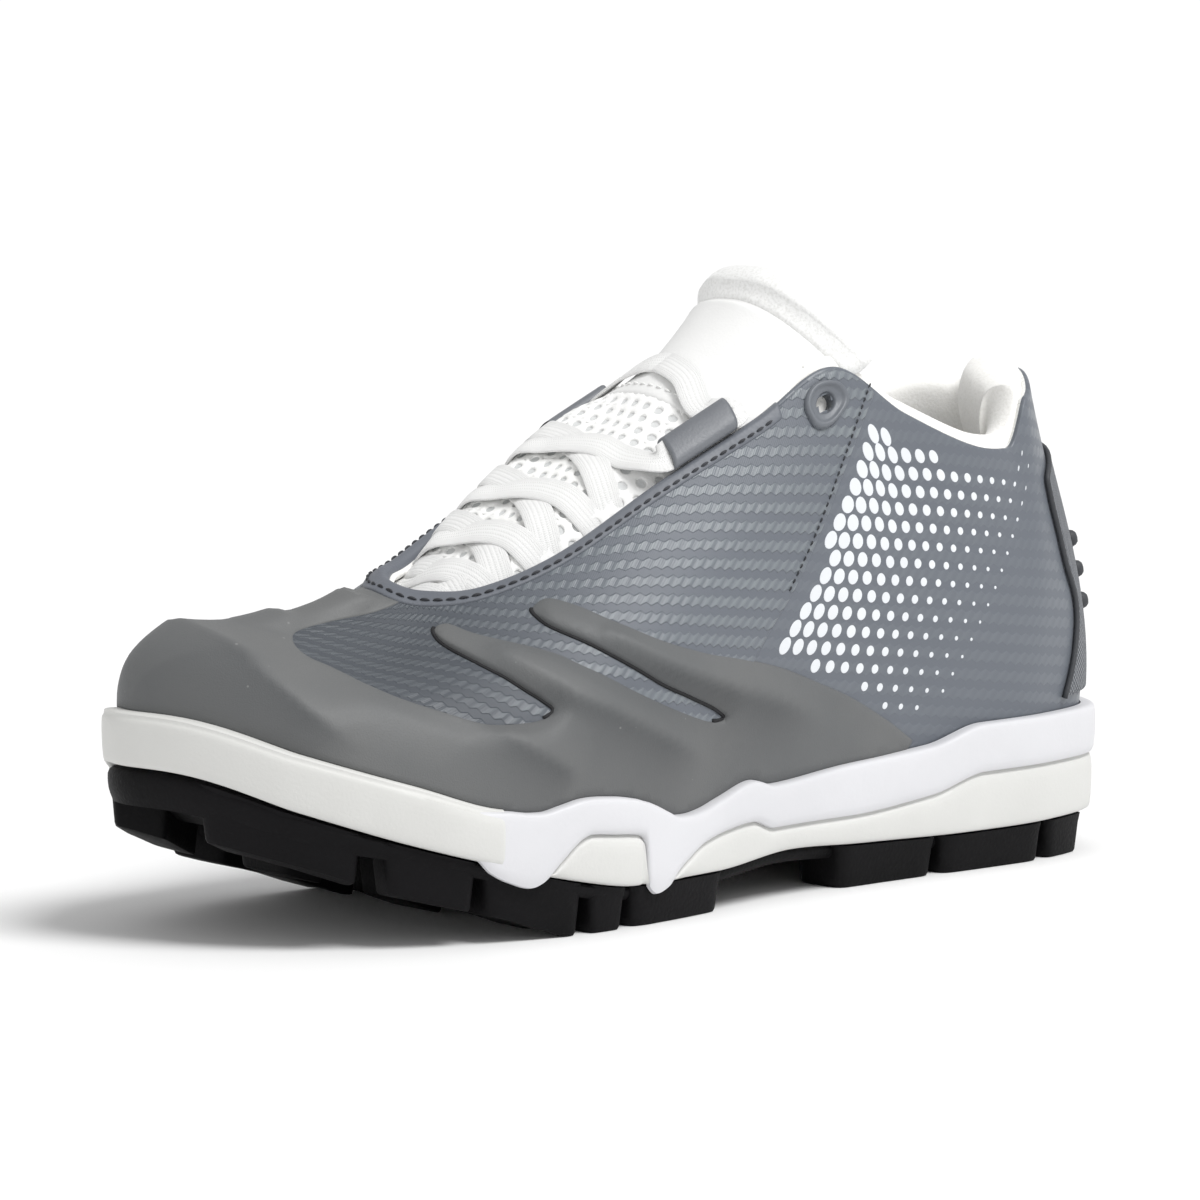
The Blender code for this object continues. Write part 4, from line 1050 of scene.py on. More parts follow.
def guard_crests(u, v):
    """Height of the crests at places on the guard, and the painted shade below those with a steep lower side.
    """
    side = np.where(u <= 0.5 * RIB_COUNT, u, mirrored(u))
    place = stack(side, v) * CHART
    height, painted_crest_shade = np.zeros(len(u)), np.zeros(len(u))
    for _, tall, before, behind, *spots in GUARD_CRESTS:
        line = even_path(smooth_path(np.array(spots) * CHART, 6), 1.0)
        ahead = unit(np.gradient(line, axis=0))
        gaps = np.linalg.norm(place[:, None] - line[None], axis=-1)
        near = np.argmin(gaps, axis=1)
        gap = gaps[np.arange(len(u)), near]
        away = place - line[near]
        across = away[:, 0] * ahead[near, 1] - away[:, 1] * ahead[near, 0]
        fade = smooth_step(len(line) - 1 - near, 0.0, 0.25 * len(line))
        if spots[0][0] < 0.5 * RIB_COUNT:
            fade = fade * smooth_step(near, 0.0, 0.15 * len(line))
        width = np.where(across < 0.0, before, behind)
        height = np.maximum(height, tall * fade * np.exp(-gap / width))
        if before < behind:
            below = smooth_step(-across, -1.0, 1.5) * smooth_step(near, 0.0, 0.35 * len(line))
            painted_crest_shade = np.maximum(painted_crest_shade, below * fade * np.exp(-gap / (CREST_SHADE_REACH * before)))
    return height, painted_crest_shade


def make_guard():
    """Rubber guard round the toe: fingers stand proud on their front edge and fade out behind, with painted
    shade below the crests and a line of painted shadow under the proud edges.
    """
    steps = 5
    lateral = smooth_path(GUARD_SPOTS * CHART, steps) / CHART
    proud = np.repeat(GUARD_PROUD[:-1], steps)
    medial = stack(mirrored(lateral[::-1, 0]), lateral[::-1, 1])
    throat_ribs = np.linspace(lateral[-1, 0], medial[0, 0], 16)[1:-1]
    throat = stack(throat_ribs, lateral[-1, 1])
    foot_ribs = np.linspace(medial[-1, 0], lateral[0, 0], 190)[1:-1]
    foot_y = outline_y(foot_ribs)
    rim = np.where(foot_y > FRAME_FRONT_Y, frame_edge(2, foot_y), level(2, foot_y))
    foot = stack(foot_ribs, share_at_height(foot_ribs, rim - 0.4))
    polygon = np.concatenate((lateral, throat, medial, foot))
    soft = np.zeros(len(polygon), bool)
    soft[:len(proud)] = ~proud
    soft[len(lateral) - 1:len(lateral) + len(throat)] = True
    soft[len(lateral) + len(throat):len(lateral) + len(throat) + len(proud)] = ~proud[::-1]

    def height(u, v, distance):
        from_soft_edge = edge_distance(polygon * CHART, stack(u, v) * CHART, soft)
        fade = smooth_step(from_soft_edge, 0.0, GUARD_FADE)
        toe = smooth_step(np.minimum(u, mirrored(u)), 9.4, 10.6)
        tall = GUARD_FLUSH + (GUARD_TALL - GUARD_TOE_DROP * toe - GUARD_FLUSH) * fade
        return lip(distance, 0.65, tall + guard_crests(u, v)[0] * smooth_step(distance, 0.0, 4.0))

    # The sheet carries the painted shade below the crests in its third cloth coordinate.
    chart_sheet("toe_guard_rubber", polygon, 1.5, height, [PAINT["guard"]], ["toe_guard"],
                tone=lambda u, v: guard_crests(u, v)[1])
    # Painted shadow under the proud edges: a thin near-black tube along each run of them, on both sides, at
    # the panel's height.
    edge = lateral[:-1][proud]
    breaks = np.nonzero(np.diff(np.nonzero(proud)[0]) > 1)[0] + 1
    gaps = []
    for run in np.split(edge, breaks):
        for ribs in (run[:, 0], mirrored(run[:, 0])):
            line = face(ribs, run[:, 1], PANEL_TALL + 0.1)
            gaps.append(tube(line, wall_normal(ribs, run[:, 1]), 0.5, 0.35, 8))
    points, faces = joined(gaps)
    build("guard_edge_painted_shadow", points, faces, [PAINT["dark"]])


# Heel strip

# Heel strip edge on one side: share up the wall, half width in ribs
HEEL_STRIP = (
    ("foot", 0.125, 1.65),
    ("low", 0.25, 1.45),
    ("waist", 0.37, 1.33),
    ("middle", 0.48, 1.5),
    ("high", 0.58, 1.6),
    ("shoulder", 0.7, 1.71),
    ("corner", 0.755, 1.61),
    ("top", 0.775, 0.6),
)
STRIP_TALL = 1.35
STUD_RIBS = (-0.72, 0.0, 0.72)
STUD_SHARES = (0.345, 0.43, 0.513)
STUD_PROFILE = ((2.3, 0.0), (2.2, 0.8), (1.9, 1.7), (1.3, 2.3), (0.5, 2.5))
PIPING_RADIUS = 0.7


def strip_edge():
    right = np.array([(half, v) for _, v, half in HEEL_STRIP])
    left = right[::-1] * (-1.0, 1.0)
    return smooth_path(np.concatenate((right, left)) * CHART, 6) / CHART


def make_heel_strip():
    """Woven strip over the heel with grip studs, bordered by dark piping."""
    edge = strip_edge()
    foot = stack(np.linspace(edge[-1, 0], edge[0, 0], 30)[1:-1], edge[0, 1])
    polygon = np.concatenate((edge, foot))
    chart_sheet("heel_strip_weave", polygon, 1.6, lambda u, v, d: lip(d, 0.6, STRIP_TALL),
                [PAINT["strip"]], ["heel_strip"])
    centre = face(edge[:, 0], edge[:, 1], 0.8)
    normal = wall_normal(edge[:, 0], edge[:, 1])
    points, faces = tube(centre, normal, PIPING_RADIUS, PIPING_RADIUS, 12)
    build("heel_strip_piping", points, faces, [PAINT["piping"]])
    studs = [stud(u, v) for u in STUD_RIBS for v in STUD_SHARES]
    points, faces = joined(studs)
    build("heel_strip_studs", points, faces, [PAINT["piping"]])


def stud(u, v):
    normal = wall_normal(u, v)
    aside = unit(np.cross(normal, UP))
    rise = np.cross(aside, normal)
    turns = full_turn(20)
    spokes = np.cos(turns)[:, None] * aside + np.sin(turns)[:, None] * rise
    base = face(u, v, STRIP_TALL - 0.2)
    return swept([base + tall * normal + radius * spokes for radius, tall in STUD_PROFILE])


def tube(centre, normal, half_wide, half_tall, sides, power=1.0):
    """Points and faces of a cord with an oval or flattened section along a path."""
    ahead = unit(np.gradient(centre, axis=0))
    side = unit(np.cross(ahead, normal))
    lift = np.cross(side, ahead)
    turns = full_turn(sides)
    across, upward = flattened(np.cos(turns), power), flattened(np.sin(turns), power)
    half_wide = np.broadcast_to(half_wide, len(centre))[:, None, None]
    half_tall = np.broadcast_to(half_tall, len(centre))[:, None, None]
    ring = across[None, :, None] * half_wide * side[:, None]
    ring = ring + upward[None, :, None] * half_tall * lift[:, None]
    return swept(centre[:, None] + ring)


# Eyelets, lace tunnels and stitches


def make_eyelet(name, u, node):
    """Moulded rounded-triangle eyelet with a raised rim and a barrel through the wall."""
    turns = full_turn(48)
    toward_toe = 1.0 if u < 0.5 * RIB_COUNT else -1.0
    outside = EYELET_RADIUS * (1.0 + EYELET_POINT * np.cos(3.0 * (turns - math.radians(45.0))))
    rings = []
    for share, tall in EYELET_PROFILE:
        radius = EYELET_HOLE + share * (outside - EYELET_HOLE)
        along = EYELET_LONG * toward_toe * radius * np.cos(turns)
        rings.append(beside(u, EYELET_SHARE, along, EYELET_HIGH * radius * np.sin(turns), tall))
    points = np.array(rings)
    faces = grid_faces(len(rings), len(turns), wrap_rows=True, wrap_cols=True)
    build(name, points, faces, [PAINT["eyelet"]], [node])


TUNNEL_RIBS = (6.24, 6.86)
TUNNEL_WIDE = 9.2
TUNNEL_TALL = 4.2
TUNNEL_WALL = 0.9
TUNNEL_LIFT = 1.6


def tunnel_axes(u):
    """Centre, direction away from the edge, and lift of a lace tunnel at ribs."""
    edge = plan(TOP_X, TOP_Y, u, closed_curve(TOP_Z, u))
    out = outward(TOP_X, TOP_Y, u)
    reach, lift = unit(UP - out), unit(UP + out)
    return edge + (0.5 * TUNNEL_WIDE - 0.4) * reach + TUNNEL_LIFT * lift, reach, lift


def make_tunnel(name, first, last, node):
    """Folded strip of synthetic that holds the lace, near black inside as painted shade."""
    turns = full_turn(36)
    flat, tall = flattened(np.cos(turns), 0.75), flattened(np.sin(turns), 0.85)
    outer, inner = [], []
    for u in np.linspace(first, last, 24):
        centre, reach, lift = tunnel_axes(u)
        for rings, cut in ((outer, 0.0), (inner, TUNNEL_WALL)):
            wide, high = 0.5 * TUNNEL_WIDE - cut, 0.5 * TUNNEL_TALL - cut
            rings.append(centre + (wide * flat)[:, None] * reach + (high * tall)[:, None] * lift)
    points = np.array(outer + inner[::-1])
    faces = grid_faces(len(points), len(turns), wrap_rows=True, wrap_cols=True)
    slots = (np.array(faces)[:, 0] >= len(outer) * len(turns)).astype(int)
    build(name, points, faces, [PAINT["tunnel"], PAINT["dark"]], [node], slots=slots)


def stitch_row(name, points, normals, paint, length=2.1, gap=1.1, thick=0.34):
    """Row of thread along a path: one small pill for each stitch."""
    line = even_path(np.concatenate((points, normals), axis=1), length + gap)
    pills = []
    for here, there in zip(line[:-1], line[1:]):
        ahead = unit(there[:3] - here[:3])
        normal = unit(here[3:])
        t = np.linspace(-0.5, 0.5, 7)
        centre = here[:3] + (t * length)[:, None] * ahead + (0.28 - 0.9 * t * t)[:, None] * normal
        size = thick * np.sqrt(np.maximum(1.0 - (1.9 * t) ** 2, 0.06))
        pills.append(tube(centre, np.broadcast_to(normal, (7, 3)), size, size, 6))
    points, faces = joined(pills)
    build(name, points, faces, [PAINT[paint]])


def make_throat_stitches():
    ribs = np.linspace(EDGING_RIB + 0.15, mirrored(EDGING_RIB + 0.15), 500)
    stitch_row("throat_stitches", below_lip(ribs, EDGING_WIDE - 1.0, 1.0), wall_normal(ribs, 0.93),
               "thread", 2.3, 0.7, 0.36)


def make_panel_stitches():
    edge = smooth_path(numbers(PANEL_EDGE[:5]), 20)
    for name, ribs in (("lateral", edge[:, 0] + 0.1), ("medial", mirrored(edge[:, 0] + 0.1))):
        line = face(ribs, edge[:, 1], PANEL_TALL)
        stitch_row("panel_stitches_" + name, line, wall_normal(ribs, edge[:, 1]), "thread",
                   1.3, 0.9, 0.24)


# Halftone print on the rear quarters

DOT_PITCH = 5.0
DOT_RADIUS = 2.3
DOT_FADE = 74.0
DOT_SIDES = 18
DOT_LOW = -0.05
DOT_HIGH = 0.09


def dot_places():
    """Places and radii of the printed dots: large at the panel's seam, small toward the heel."""
    edge = smooth_path(numbers(PANEL_EDGE), 8)
    seam = cloth_place(edge[:, 0], edge[:, 1])[:, :2]
    is_seam = np.arange(len(seam)) < len(seam) - 1
    low = (np.interp(0.9, LOOK_RIBS, CLOTH_GIRTH), -50.0)
    high = (np.interp(6.0, LOOK_RIBS, CLOTH_GIRTH), 70.0)
    tail = GUARD_SPOTS[:TAIL_SPOTS]
    strip = numbers(HEEL_STRIP)
    made = []
    for girth, row in hex_grid(low, high, DOT_PITCH):
        u, v = cloth_spot(girth, row)
        if not 0.0 < v < 1.0:
            continue
        away = edge_distance(seam, np.array(((girth, row),)), is_seam)[0]
        radius = DOT_RADIUS * (1.0 - away / DOT_FADE)
        margin = (radius + 1.4) / wall_length(u)
        is_behind = u < np.interp(-v, -edge[:, 1], edge[:, 0]) and away > radius + 2.0
        is_above = v > max(np.interp(u, tail[:, 0], tail[:, 1]), 0.15) + margin
        beside_strip = girth - np.interp(np.interp(v, strip[:, 0], strip[:, 1]), LOOK_RIBS, CLOTH_GIRTH)
        clear = v < 0.955 - margin and (beside_strip > radius + 2.6 or v > strip[-1, 0] + 2.0 * margin)
        near_eyelet = np.hypot((u - EYELET_RIB) * RIB_SPAN, (v - EYELET_SHARE) * 100.0) < 14.0
        if is_behind and is_above and clear and radius > 0.35 and not near_eyelet:
            made.append((u, v, radius))
    return made


def make_dots(name, places):
    """Thin printed discs that follow the cloth."""
    turns = full_turn(DOT_SIDES)
    discs = []
    for u, v, radius in places:
        rings = []
        for reach, tall in ((radius + 0.05, DOT_LOW), (radius - 0.03, 0.07)):
            rings.append(beside(u, v, reach * np.cos(turns), reach * np.sin(turns), tall))
        ends = np.stack((beside(u, v, 0.0, 0.0, DOT_LOW), beside(u, v, 0.0, 0.0, DOT_HIGH)))
        points = np.concatenate((np.concatenate(rings), ends))
        faces = grid_faces(2, DOT_SIDES, wrap_cols=True)
        faces += fan(DOT_SIDES, DOT_SIDES, 2 * DOT_SIDES + 1) + fan(0, DOT_SIDES, 2 * DOT_SIDES)
        discs.append((points, faces))
    points, faces = joined(discs)
    build(name, points, faces, [PAINT["print"]], sharp=25.0)


# Lining and tongue

# Padded lining: share up the wall, depth inside the upper's face, height above the collar edge
LINING_SECTION = (
    (0.55, 2.7, 0.0),
    (0.76, 2.7, 0.0),
    (0.97, 2.7, 0.0),
    (1.0, 2.6, 1.9),
    (1.0, 5.0, 3.7),
    (1.0, 7.8, 1.8),
    (0.93, 9.2, 0.0),
    (0.8, 8.8, 0.0),
    (0.66, 6.6, 0.0),
    (0.56, 4.0, 0.0),
)
LINING_END_RIB = 5.3
LINING_BACK = 2.7
LINING_HEEL = 1.3
RIM_RISE = 1.7
RIM_HALF_WIDE = 0.85
RIM_HALF_TALL = 1.5


def make_lining():
    """Padded fleece collar, fullest at the heel and thin toward the tongue."""
    ribs = np.linspace(-LINING_END_RIB, LINING_END_RIB, 260)
    full = 0.3 + 0.7 * smooth_step(LINING_END_RIB - np.abs(ribs), 0.0, 1.8)
    thick = full * (1.0 + LINING_HEEL * np.exp(-((ribs - 0.8) / 1.35) ** 2))
    rows = []
    for v, depth, lift in smooth_path(np.array(LINING_SECTION), 7, closed=True):
        inward = LINING_BACK + (depth - LINING_BACK) * thick
        rows.append(skin(ribs, v, -inward) + (lift * (0.5 + 0.5 * full))[:, None] * UP)
    points, faces = swept(np.stack(rows, axis=1))
    lining = build("collar_lining_pile", points, faces, [PAINT["pile"]], ["collar_lining"])


def make_lining_rim():
    """White edge of the lining that shows all round the opening."""
    ribs = ring_ribs(660)
    turns = full_turn(14)
    side = np.minimum(ribs, mirrored(ribs))
    rise_mm = 0.1 + RIM_RISE * smooth_step(side, 3.6, 4.6) * (1.0 - smooth_step(side, 5.4, 6.0))
    centre = below_lip(ribs, -rise_mm, -WALL - 0.75)
    normal = wall_normal(ribs, LIP_SHARE)
    rise = unit(wall_up(ribs, np.full_like(ribs, LIP_SHARE)))
    ring = RIM_HALF_WIDE * np.cos(turns)[None, :, None] * normal[:, None]
    ring = ring + RIM_HALF_TALL * np.sin(turns)[None, :, None] * rise[:, None]
    faces = grid_faces(len(ribs), len(turns), wrap_rows=True, wrap_cols=True)
    build("lining_rim", centre[:, None] + ring, faces, [PAINT["pile"]])


TONGUE_ROWS = np.arange(len(TONGUE), dtype=float)
TONGUE_END = len(TONGUE) - 1.0
ROLL_ROW = 6.3
ROLL_CREASE = 1.1
ROLL_BULGE = 1.6
# Length of the roll's rounded end, as a share of its thickness
ROLL_REACH = 0.8
LACE_PRESS = 2.4
TONGUE_SWELL = 4.0
# Share by which the medial side of the laced part falls less than the lateral side
TONGUE_FLAT = 0.42
PANEL_ROWS = (4.12, 6.36)
PANEL_LIFT = 0.8
MESH_ROWS = (1.1, 4.35)
MESH_LIFT = 0.55
MESH_PITCH = 4.3
MESH_HOLE = 1.15


def tongue_value(place, s):
    return steady_curve(TONGUE_ROWS, column(TONGUE, place), s)


def tongue_point(s, t):
    """Outer face of the tongue: s counts table rows, t runs from medial edge to lateral edge."""
    bend = np.abs(t) ** (2.0 + 0.4 * np.maximum(0.0, s - 5.0))
    y = tongue_value(1, s) + tongue_value(5, s) * bend
    flat = TONGUE_FLAT * smooth_step(s, 0.4, 1.4) * (1.0 - smooth_step(s, 3.4, 4.6)) * (t < 0.0)
    z = tongue_value(2, s) - tongue_value(4, s) * bend * (1.0 - flat)
    return stack(tongue_value(3, s) * t, y, z)


def steady_row(s):
    """Row whose directions a row takes: the last half row keeps one, because its points slow down there."""
    return np.clip(s, 0.02, TONGUE_END - 0.5)


def tongue_along(s, t):
    return tongue_point(steady_row(s) + 0.02, t) - tongue_point(steady_row(s) - 0.02, t)


def tongue_normal(s, t):
    row = steady_row(s)
    across = tongue_point(row, np.minimum(t + 0.02, 1.0)) - tongue_point(row, np.maximum(t - 0.02, -1.0))
    return unit(np.cross(across, tongue_along(s, t)))


def tongue_face(s, t, offset):
    """Point over the tongue, pressed in under the lace and creased under its rolled top."""
    s, t, offset = matched(s, t, offset)
    crease = ROLL_CREASE * np.exp(-((s - ROLL_ROW) / 0.07) ** 2) * smooth_step(offset, -3.0, -1.0)
    bulge = ROLL_BULGE * np.exp(-((s - TONGUE_END) / 0.42) ** 2) * (1.0 - t ** 4)
    under_lace = smooth_step(s, 0.9, 1.8) * (1.0 - smooth_step(s, 3.6, 4.5))
    press = LACE_PRESS * under_lace * np.exp(-(t / 0.5) ** 2)
    swell = TONGUE_SWELL * under_lace * np.exp(-((t + 0.5) / 0.28) ** 2)
    rise = offset + bulge + swell - crease - press
    return tongue_point(s, t) + rise[..., None] * tongue_normal(s, 0.85 * t)


def padding(s, t):
    """Thickness of the tongue, less toward its edges."""
    return tongue_value(6, s) * (1.0 - 0.55 * t ** 4)


def make_tongue():
    """Padded body of the tongue with its fleece roll at the top."""
    t = np.linspace(-1.0, 1.0, 49)
    rows = np.concatenate((np.arange(0.0, 6.0, 0.1), np.arange(6.0, TONGUE_END, 0.02), (TONGUE_END,)))
    sections = []
    for s in rows:
        sections.append(np.concatenate((tongue_face(s, t, 0.0), tongue_face(s, t, -padding(s, t))[::-1])))
    pad = padding(TONGUE_END, t)
    ahead = unit(tongue_along(TONGUE_END, 0.85 * t))
    for turn in np.radians((15.0, 30.0, 45.0, 60.0, 72.0, 82.0)):
        tip = (ROLL_REACH * math.sin(turn) * pad)[:, None] * ahead
        half = 0.5 * pad * math.cos(turn)
        top = tongue_face(TONGUE_END, t, half - 0.5 * pad) + tip
        low = tongue_face(TONGUE_END, t, -half - 0.5 * pad) + tip
        sections.append(np.concatenate((top, low[::-1])))
    points, faces = swept(sections)
    is_roll = np.array([min(corners) >= np.sum(rows < ROLL_ROW) * 2 * len(t) for corners in faces])
    tongue = build("tongue_body", points, faces, [PAINT["under"], PAINT["roll"]], ["tongue"],
                   slots=is_roll.astype(int))


def make_tongue_panel():
    """Smooth panel on the upper half of the tongue, bare, with a stitched lower edge."""
    t = np.linspace(-0.97, 0.97, 73)
    rows = np.linspace(*PANEL_ROWS, 90)
    row_mm = 11.5
    away_ends = np.minimum(rows - rows[0], rows[-1] - rows)[:, None] * row_mm
    away = np.minimum(away_ends, (0.97 - np.abs(t))[None, :] * 30.0)
    top = tongue_face(rows[:, None], t[None, :], lip(away, 0.8, PANEL_LIFT, 0.5))
    low = tongue_face(rows[:, None], t[None, :], -0.5)
    points, faces = swept(np.concatenate((top, low[:, ::-1]), axis=1))
    build("tongue_panel", points, faces, [PAINT["panel"]])
    seam = np.linspace(-0.95, 0.95, 200)
    stitch_row("tongue_stitches", tongue_face(PANEL_ROWS[0] + 0.16, seam, PANEL_LIFT),
               tongue_normal(PANEL_ROWS[0] + 0.16, seam), "light_thread", 1.7, 1.0, 0.27)


def tongue_spot(x, y):
    """Row and side share of the tongue at distances across and along its face."""
    rows = np.linspace(0.0, TONGUE_END, 200)
    middle = tongue_point(rows, 0.0)
    length = np.concatenate(([0.0], np.cumsum(np.linalg.norm(np.diff(middle, axis=0), axis=-1))))
    s = np.interp(y, length, rows)
    girth = np.hypot(tongue_value(3, s), 0.8 * tongue_value(4, s))
    return s, x / girth


def make_tongue_mesh():
    """Spacer mesh over the lower tongue with a real hole in each of its cells."""
    first, last = 16.0, 118.0
    corner = np.arange(12) * math.pi / 6.0
    reach = np.where(np.arange(12) % 2 == 0, 0.5, 0.5 / math.cos(math.pi / 6.0)) * MESH_PITCH
    cell = stack(reach * np.cos(corner), reach * np.sin(corner))
    hole = MESH_HOLE * stack(np.cos(corner), np.sin(corner))
    places, found, faces = [], {}, []

    def number(point, tall):
        key = (round(point[0], 2), round(point[1], 2), tall)
        if key not in found:
            found[key] = len(places)
            places.append((point[0], point[1], tall))
        return found[key]

    used = {}
    for centre in hex_grid((-27.0 + 0.25 * MESH_PITCH, first), (28.0, last), MESH_PITCH):
        s, t = tongue_spot(*centre)
        if not (MESH_ROWS[0] < s < MESH_ROWS[1] and abs(t) < 0.9):
            continue
        outer, inner = centre + cell, centre + hole
        rim = centre + 1.25 * hole
        top = [number(p, 0.8) for p in outer]
        low = [number(p, -0.6) for p in outer]
        rim_top = [number(p, 1.0) for p in rim]
        hole_top = [number(p, 0.55) for p in inner]
        hole_low = [number(p, -0.6) for p in inner]
        for k in range(12):
            j = (k + 1) % 12
            faces.append((top[k], top[j], rim_top[j], rim_top[k]))
            faces.append((rim_top[k], rim_top[j], hole_top[j], hole_top[k]))
            faces.append((hole_top[k], hole_top[j], hole_low[j], hole_low[k]))
            faces.append((low[j], low[k], hole_low[k], hole_low[j]))
            used[(top[k], top[j])] = (low[k], low[j])
    for (a, b), (c, d) in used.items():
        if (b, a) not in used:
            faces.append((b, a, c, d))
    flat = np.array(places)
    s, t = tongue_spot(flat[:, 0], flat[:, 1])
    build("tongue_mesh", tongue_face(s, t, MESH_LIFT * flat[:, 2]), faces, [PAINT["mesh"]])


# Lace

LACE_LIFT = 1.05
# Runs of the lace over the tongue: rib it leaves, rib it reaches, extra height where it crosses
LACE_RUNS = (
    ("bar", 12.45, 9.55, 0.0),
    ("pair one", 9.25, 13.2, 0.0),
    ("pair one back", 12.75, 8.8, 1.05),
    ("pair two", 8.7, 13.85, 0.0),
    ("pair two back", 13.3, 8.15, 1.05),
    ("pair three", 8.1, 14.45, 0.0),
    ("pair three back", 13.9, 7.55, 1.05),
)
# Runs that go on through a lace tunnel to the keeper: rib it leaves, rib of the tunnel's mouth, its far end,
# extra height where it crosses, side of the tongue on which it comes out
TUNNEL_RUNS = (
    ("pair four", 7.45, 15.06, 15.83, 0.0, -1.0),
    ("pair four back", 14.55, 6.94, 6.17, 1.05, 1.0),
)
# Way from a tunnel to the keeper, where the lace dips into the tongue: share across, row, height
KEEPER_ROW = 4.62
KEEPER_WAY = (
    (0.62, 4.25, 2.6),
    (0.36, KEEPER_ROW - 0.12, 2.2),
    (0.1, KEEPER_ROW, 1.7),
    (-0.08, KEEPER_ROW + 0.06, 0.4),
    (-0.2, KEEPER_ROW + 0.1, -1.5),
)
# Shares of a run at which it is laid on the tongue, and its two places under the throat's edge: down, depth
LACE_SHARES = (0.2, 0.35, 0.5, 0.65, 0.8)
LACE_TUCK = ((6.0, 1.7), (1.5, 1.9))


def tongue_below(x, y):
    """Row and side share of the tongue under a place in plan."""
    rows = np.linspace(0.0, TONGUE_END, 300)
    t = 0.0
    for _ in range(8):
        s = np.interp(y - tongue_value(5, np.interp(y, tongue_value(1, rows), rows)) * t * t,
                      tongue_value(1, rows), rows)
        t = np.clip(x / tongue_value(3, s), -1.0, 1.0)
    return s, t


def over_tongue(start, end, extra):
    """Centre line points of a lace over the tongue, with the tongue's normals."""
    made = []
    for share in LACE_SHARES:
        x, y = (1.0 - share) * start[:2] + share * end[:2]
        s, t = tongue_below(x, y)
        lift = LACE_LIFT + extra * math.exp(-((share - 0.5) / 0.17) ** 2)
        made.append(np.concatenate((tongue_face(s, t, lift), tongue_normal(s, t))))
    return made


def tucked(u):
    """Where a lace comes out from under the throat's edge: a hidden end first, then its mouth."""
    lean = 0.5 * (wall_normal(u, LIP_SHARE) + UP)
    return [np.concatenate((below_lip(u, down, -WALL - deep), lean)) for down, deep in LACE_TUCK]


def ribbon(line):
    """Points, faces and cloth coordinates of a flat woven lace along a line of points and normals."""
    path = even_path(smooth_path(np.array(line), 10), 0.8)
    sides = 24
    points, faces = tube(path[:, :3], unit(path[:, 3:]), 0.5 * LACE_WIDTH, 0.5 * LACE_THICK, sides, 0.55)
    turns = full_turn(sides)
    chart = stack(0.8 * np.arange(len(path))[:, None], 0.5 * LACE_WIDTH * np.cos(turns)[None, :], 0.0)
    ends = np.zeros((2, 3))
    return points, faces, np.concatenate((chart.reshape(-1, 3), ends))


def make_laces():
    """Flat lace: a bar and crossed pairs, the last through the tunnels to the keeper on the tongue."""
    runs = []
    for _, first, last, extra in LACE_RUNS:
        start, end = tucked(first), tucked(last)
        middle = over_tongue(start[1][:3], end[1][:3], extra)
        runs.append(ribbon(start + middle + end[::-1]))
    for _, first, mouth, far, extra, sign in TUNNEL_RUNS:
        start = tucked(first)
        centre = [np.concatenate((tunnel_axes(u)[0], tunnel_axes(u)[2])) for u in np.linspace(mouth, far, 4)]
        middle = over_tongue(start[1][:3], centre[0][:3], extra)
        over = []
        for t, s, lift in KEEPER_WAY:
            over.append(np.concatenate((tongue_face(s, sign * t, lift), tongue_normal(s, sign * t))))
        runs.append(ribbon(start + middle + centre + over))
    points, faces = joined([run[:2] for run in runs])
    build("lace_ribbon", points, faces, [PAINT["lace"]], ["lace"],
          chart=np.concatenate([run[2] for run in runs]))


# Sole

SOLE_RIBS = ring_ribs(1056)


def seat_point(u, z, gap):
    """Point just outside the upper at a height near its foot."""
    place = skin(u, share_at_height(u, z), gap)
    return stack(place[..., 0], place[..., 1], z)


def foam_proud(y):
    """How far the foam swells out at the frame's front end and at the rear of its island."""
    toe = 1.2 * smooth_step(y, -108.0, -84.0) * (1.0 - smooth_step(y, -79.0, -76.8))
    island = 1.0 * smooth_step(y, -60.0, -42.0) * (1.0 - smooth_step(y, -38.6, -36.9))
    return toe + island


def frame_shoulder(y):
    """Ledge of the foam under the frame."""
    rim = level(2, y)
    return np.maximum(np.minimum(rim - 5.0, frame_edge(2, y) - 3.4), rim - CUP_DEPTH + 1.0)


def make_midsole():
    """Foam of the sole: a cup for the upper, with a ledge that carries the frame."""
    u = SOLE_RIBS
    y = outline_y(u)
    bottom = level(3, y)
    is_framed = y > FRAME_FRONT_Y
    ledge = np.where(is_framed, np.maximum(frame_edge(3, y), bottom + 1.4) - 0.35, level(2, y) - 1.2)
    shoulder = np.where(is_framed, frame_shoulder(y), level(2, y))
    step = np.where(is_framed, RABBET, 0.7)
    tall = ledge - bottom
    swell = foam_proud(y)
    outer = np.array((
        sole_point(u, -5.0, bottom),
        sole_point(u, swell - 1.1, bottom),
        sole_point(u, swell - 0.3, bottom + np.minimum(1.2, 0.3 * tall)),
        sole_point(u, swell, ledge - np.minimum(0.9, 0.2 * tall)),
        sole_point(u, -step, ledge),
        sole_point(u, -step, shoulder),
        seat_point(u, shoulder, SEAT_GAP),
    ))
    rings = np.concatenate((rounded(outer, 2), sole_point(u, -RIM_INSET + SEAT_GAP, floor_z(u))[None]))
    points, faces = capped(rings)
    build("midsole_cup", points, faces, [PAINT["foam"]], ["midsole"], sharp=40.0)


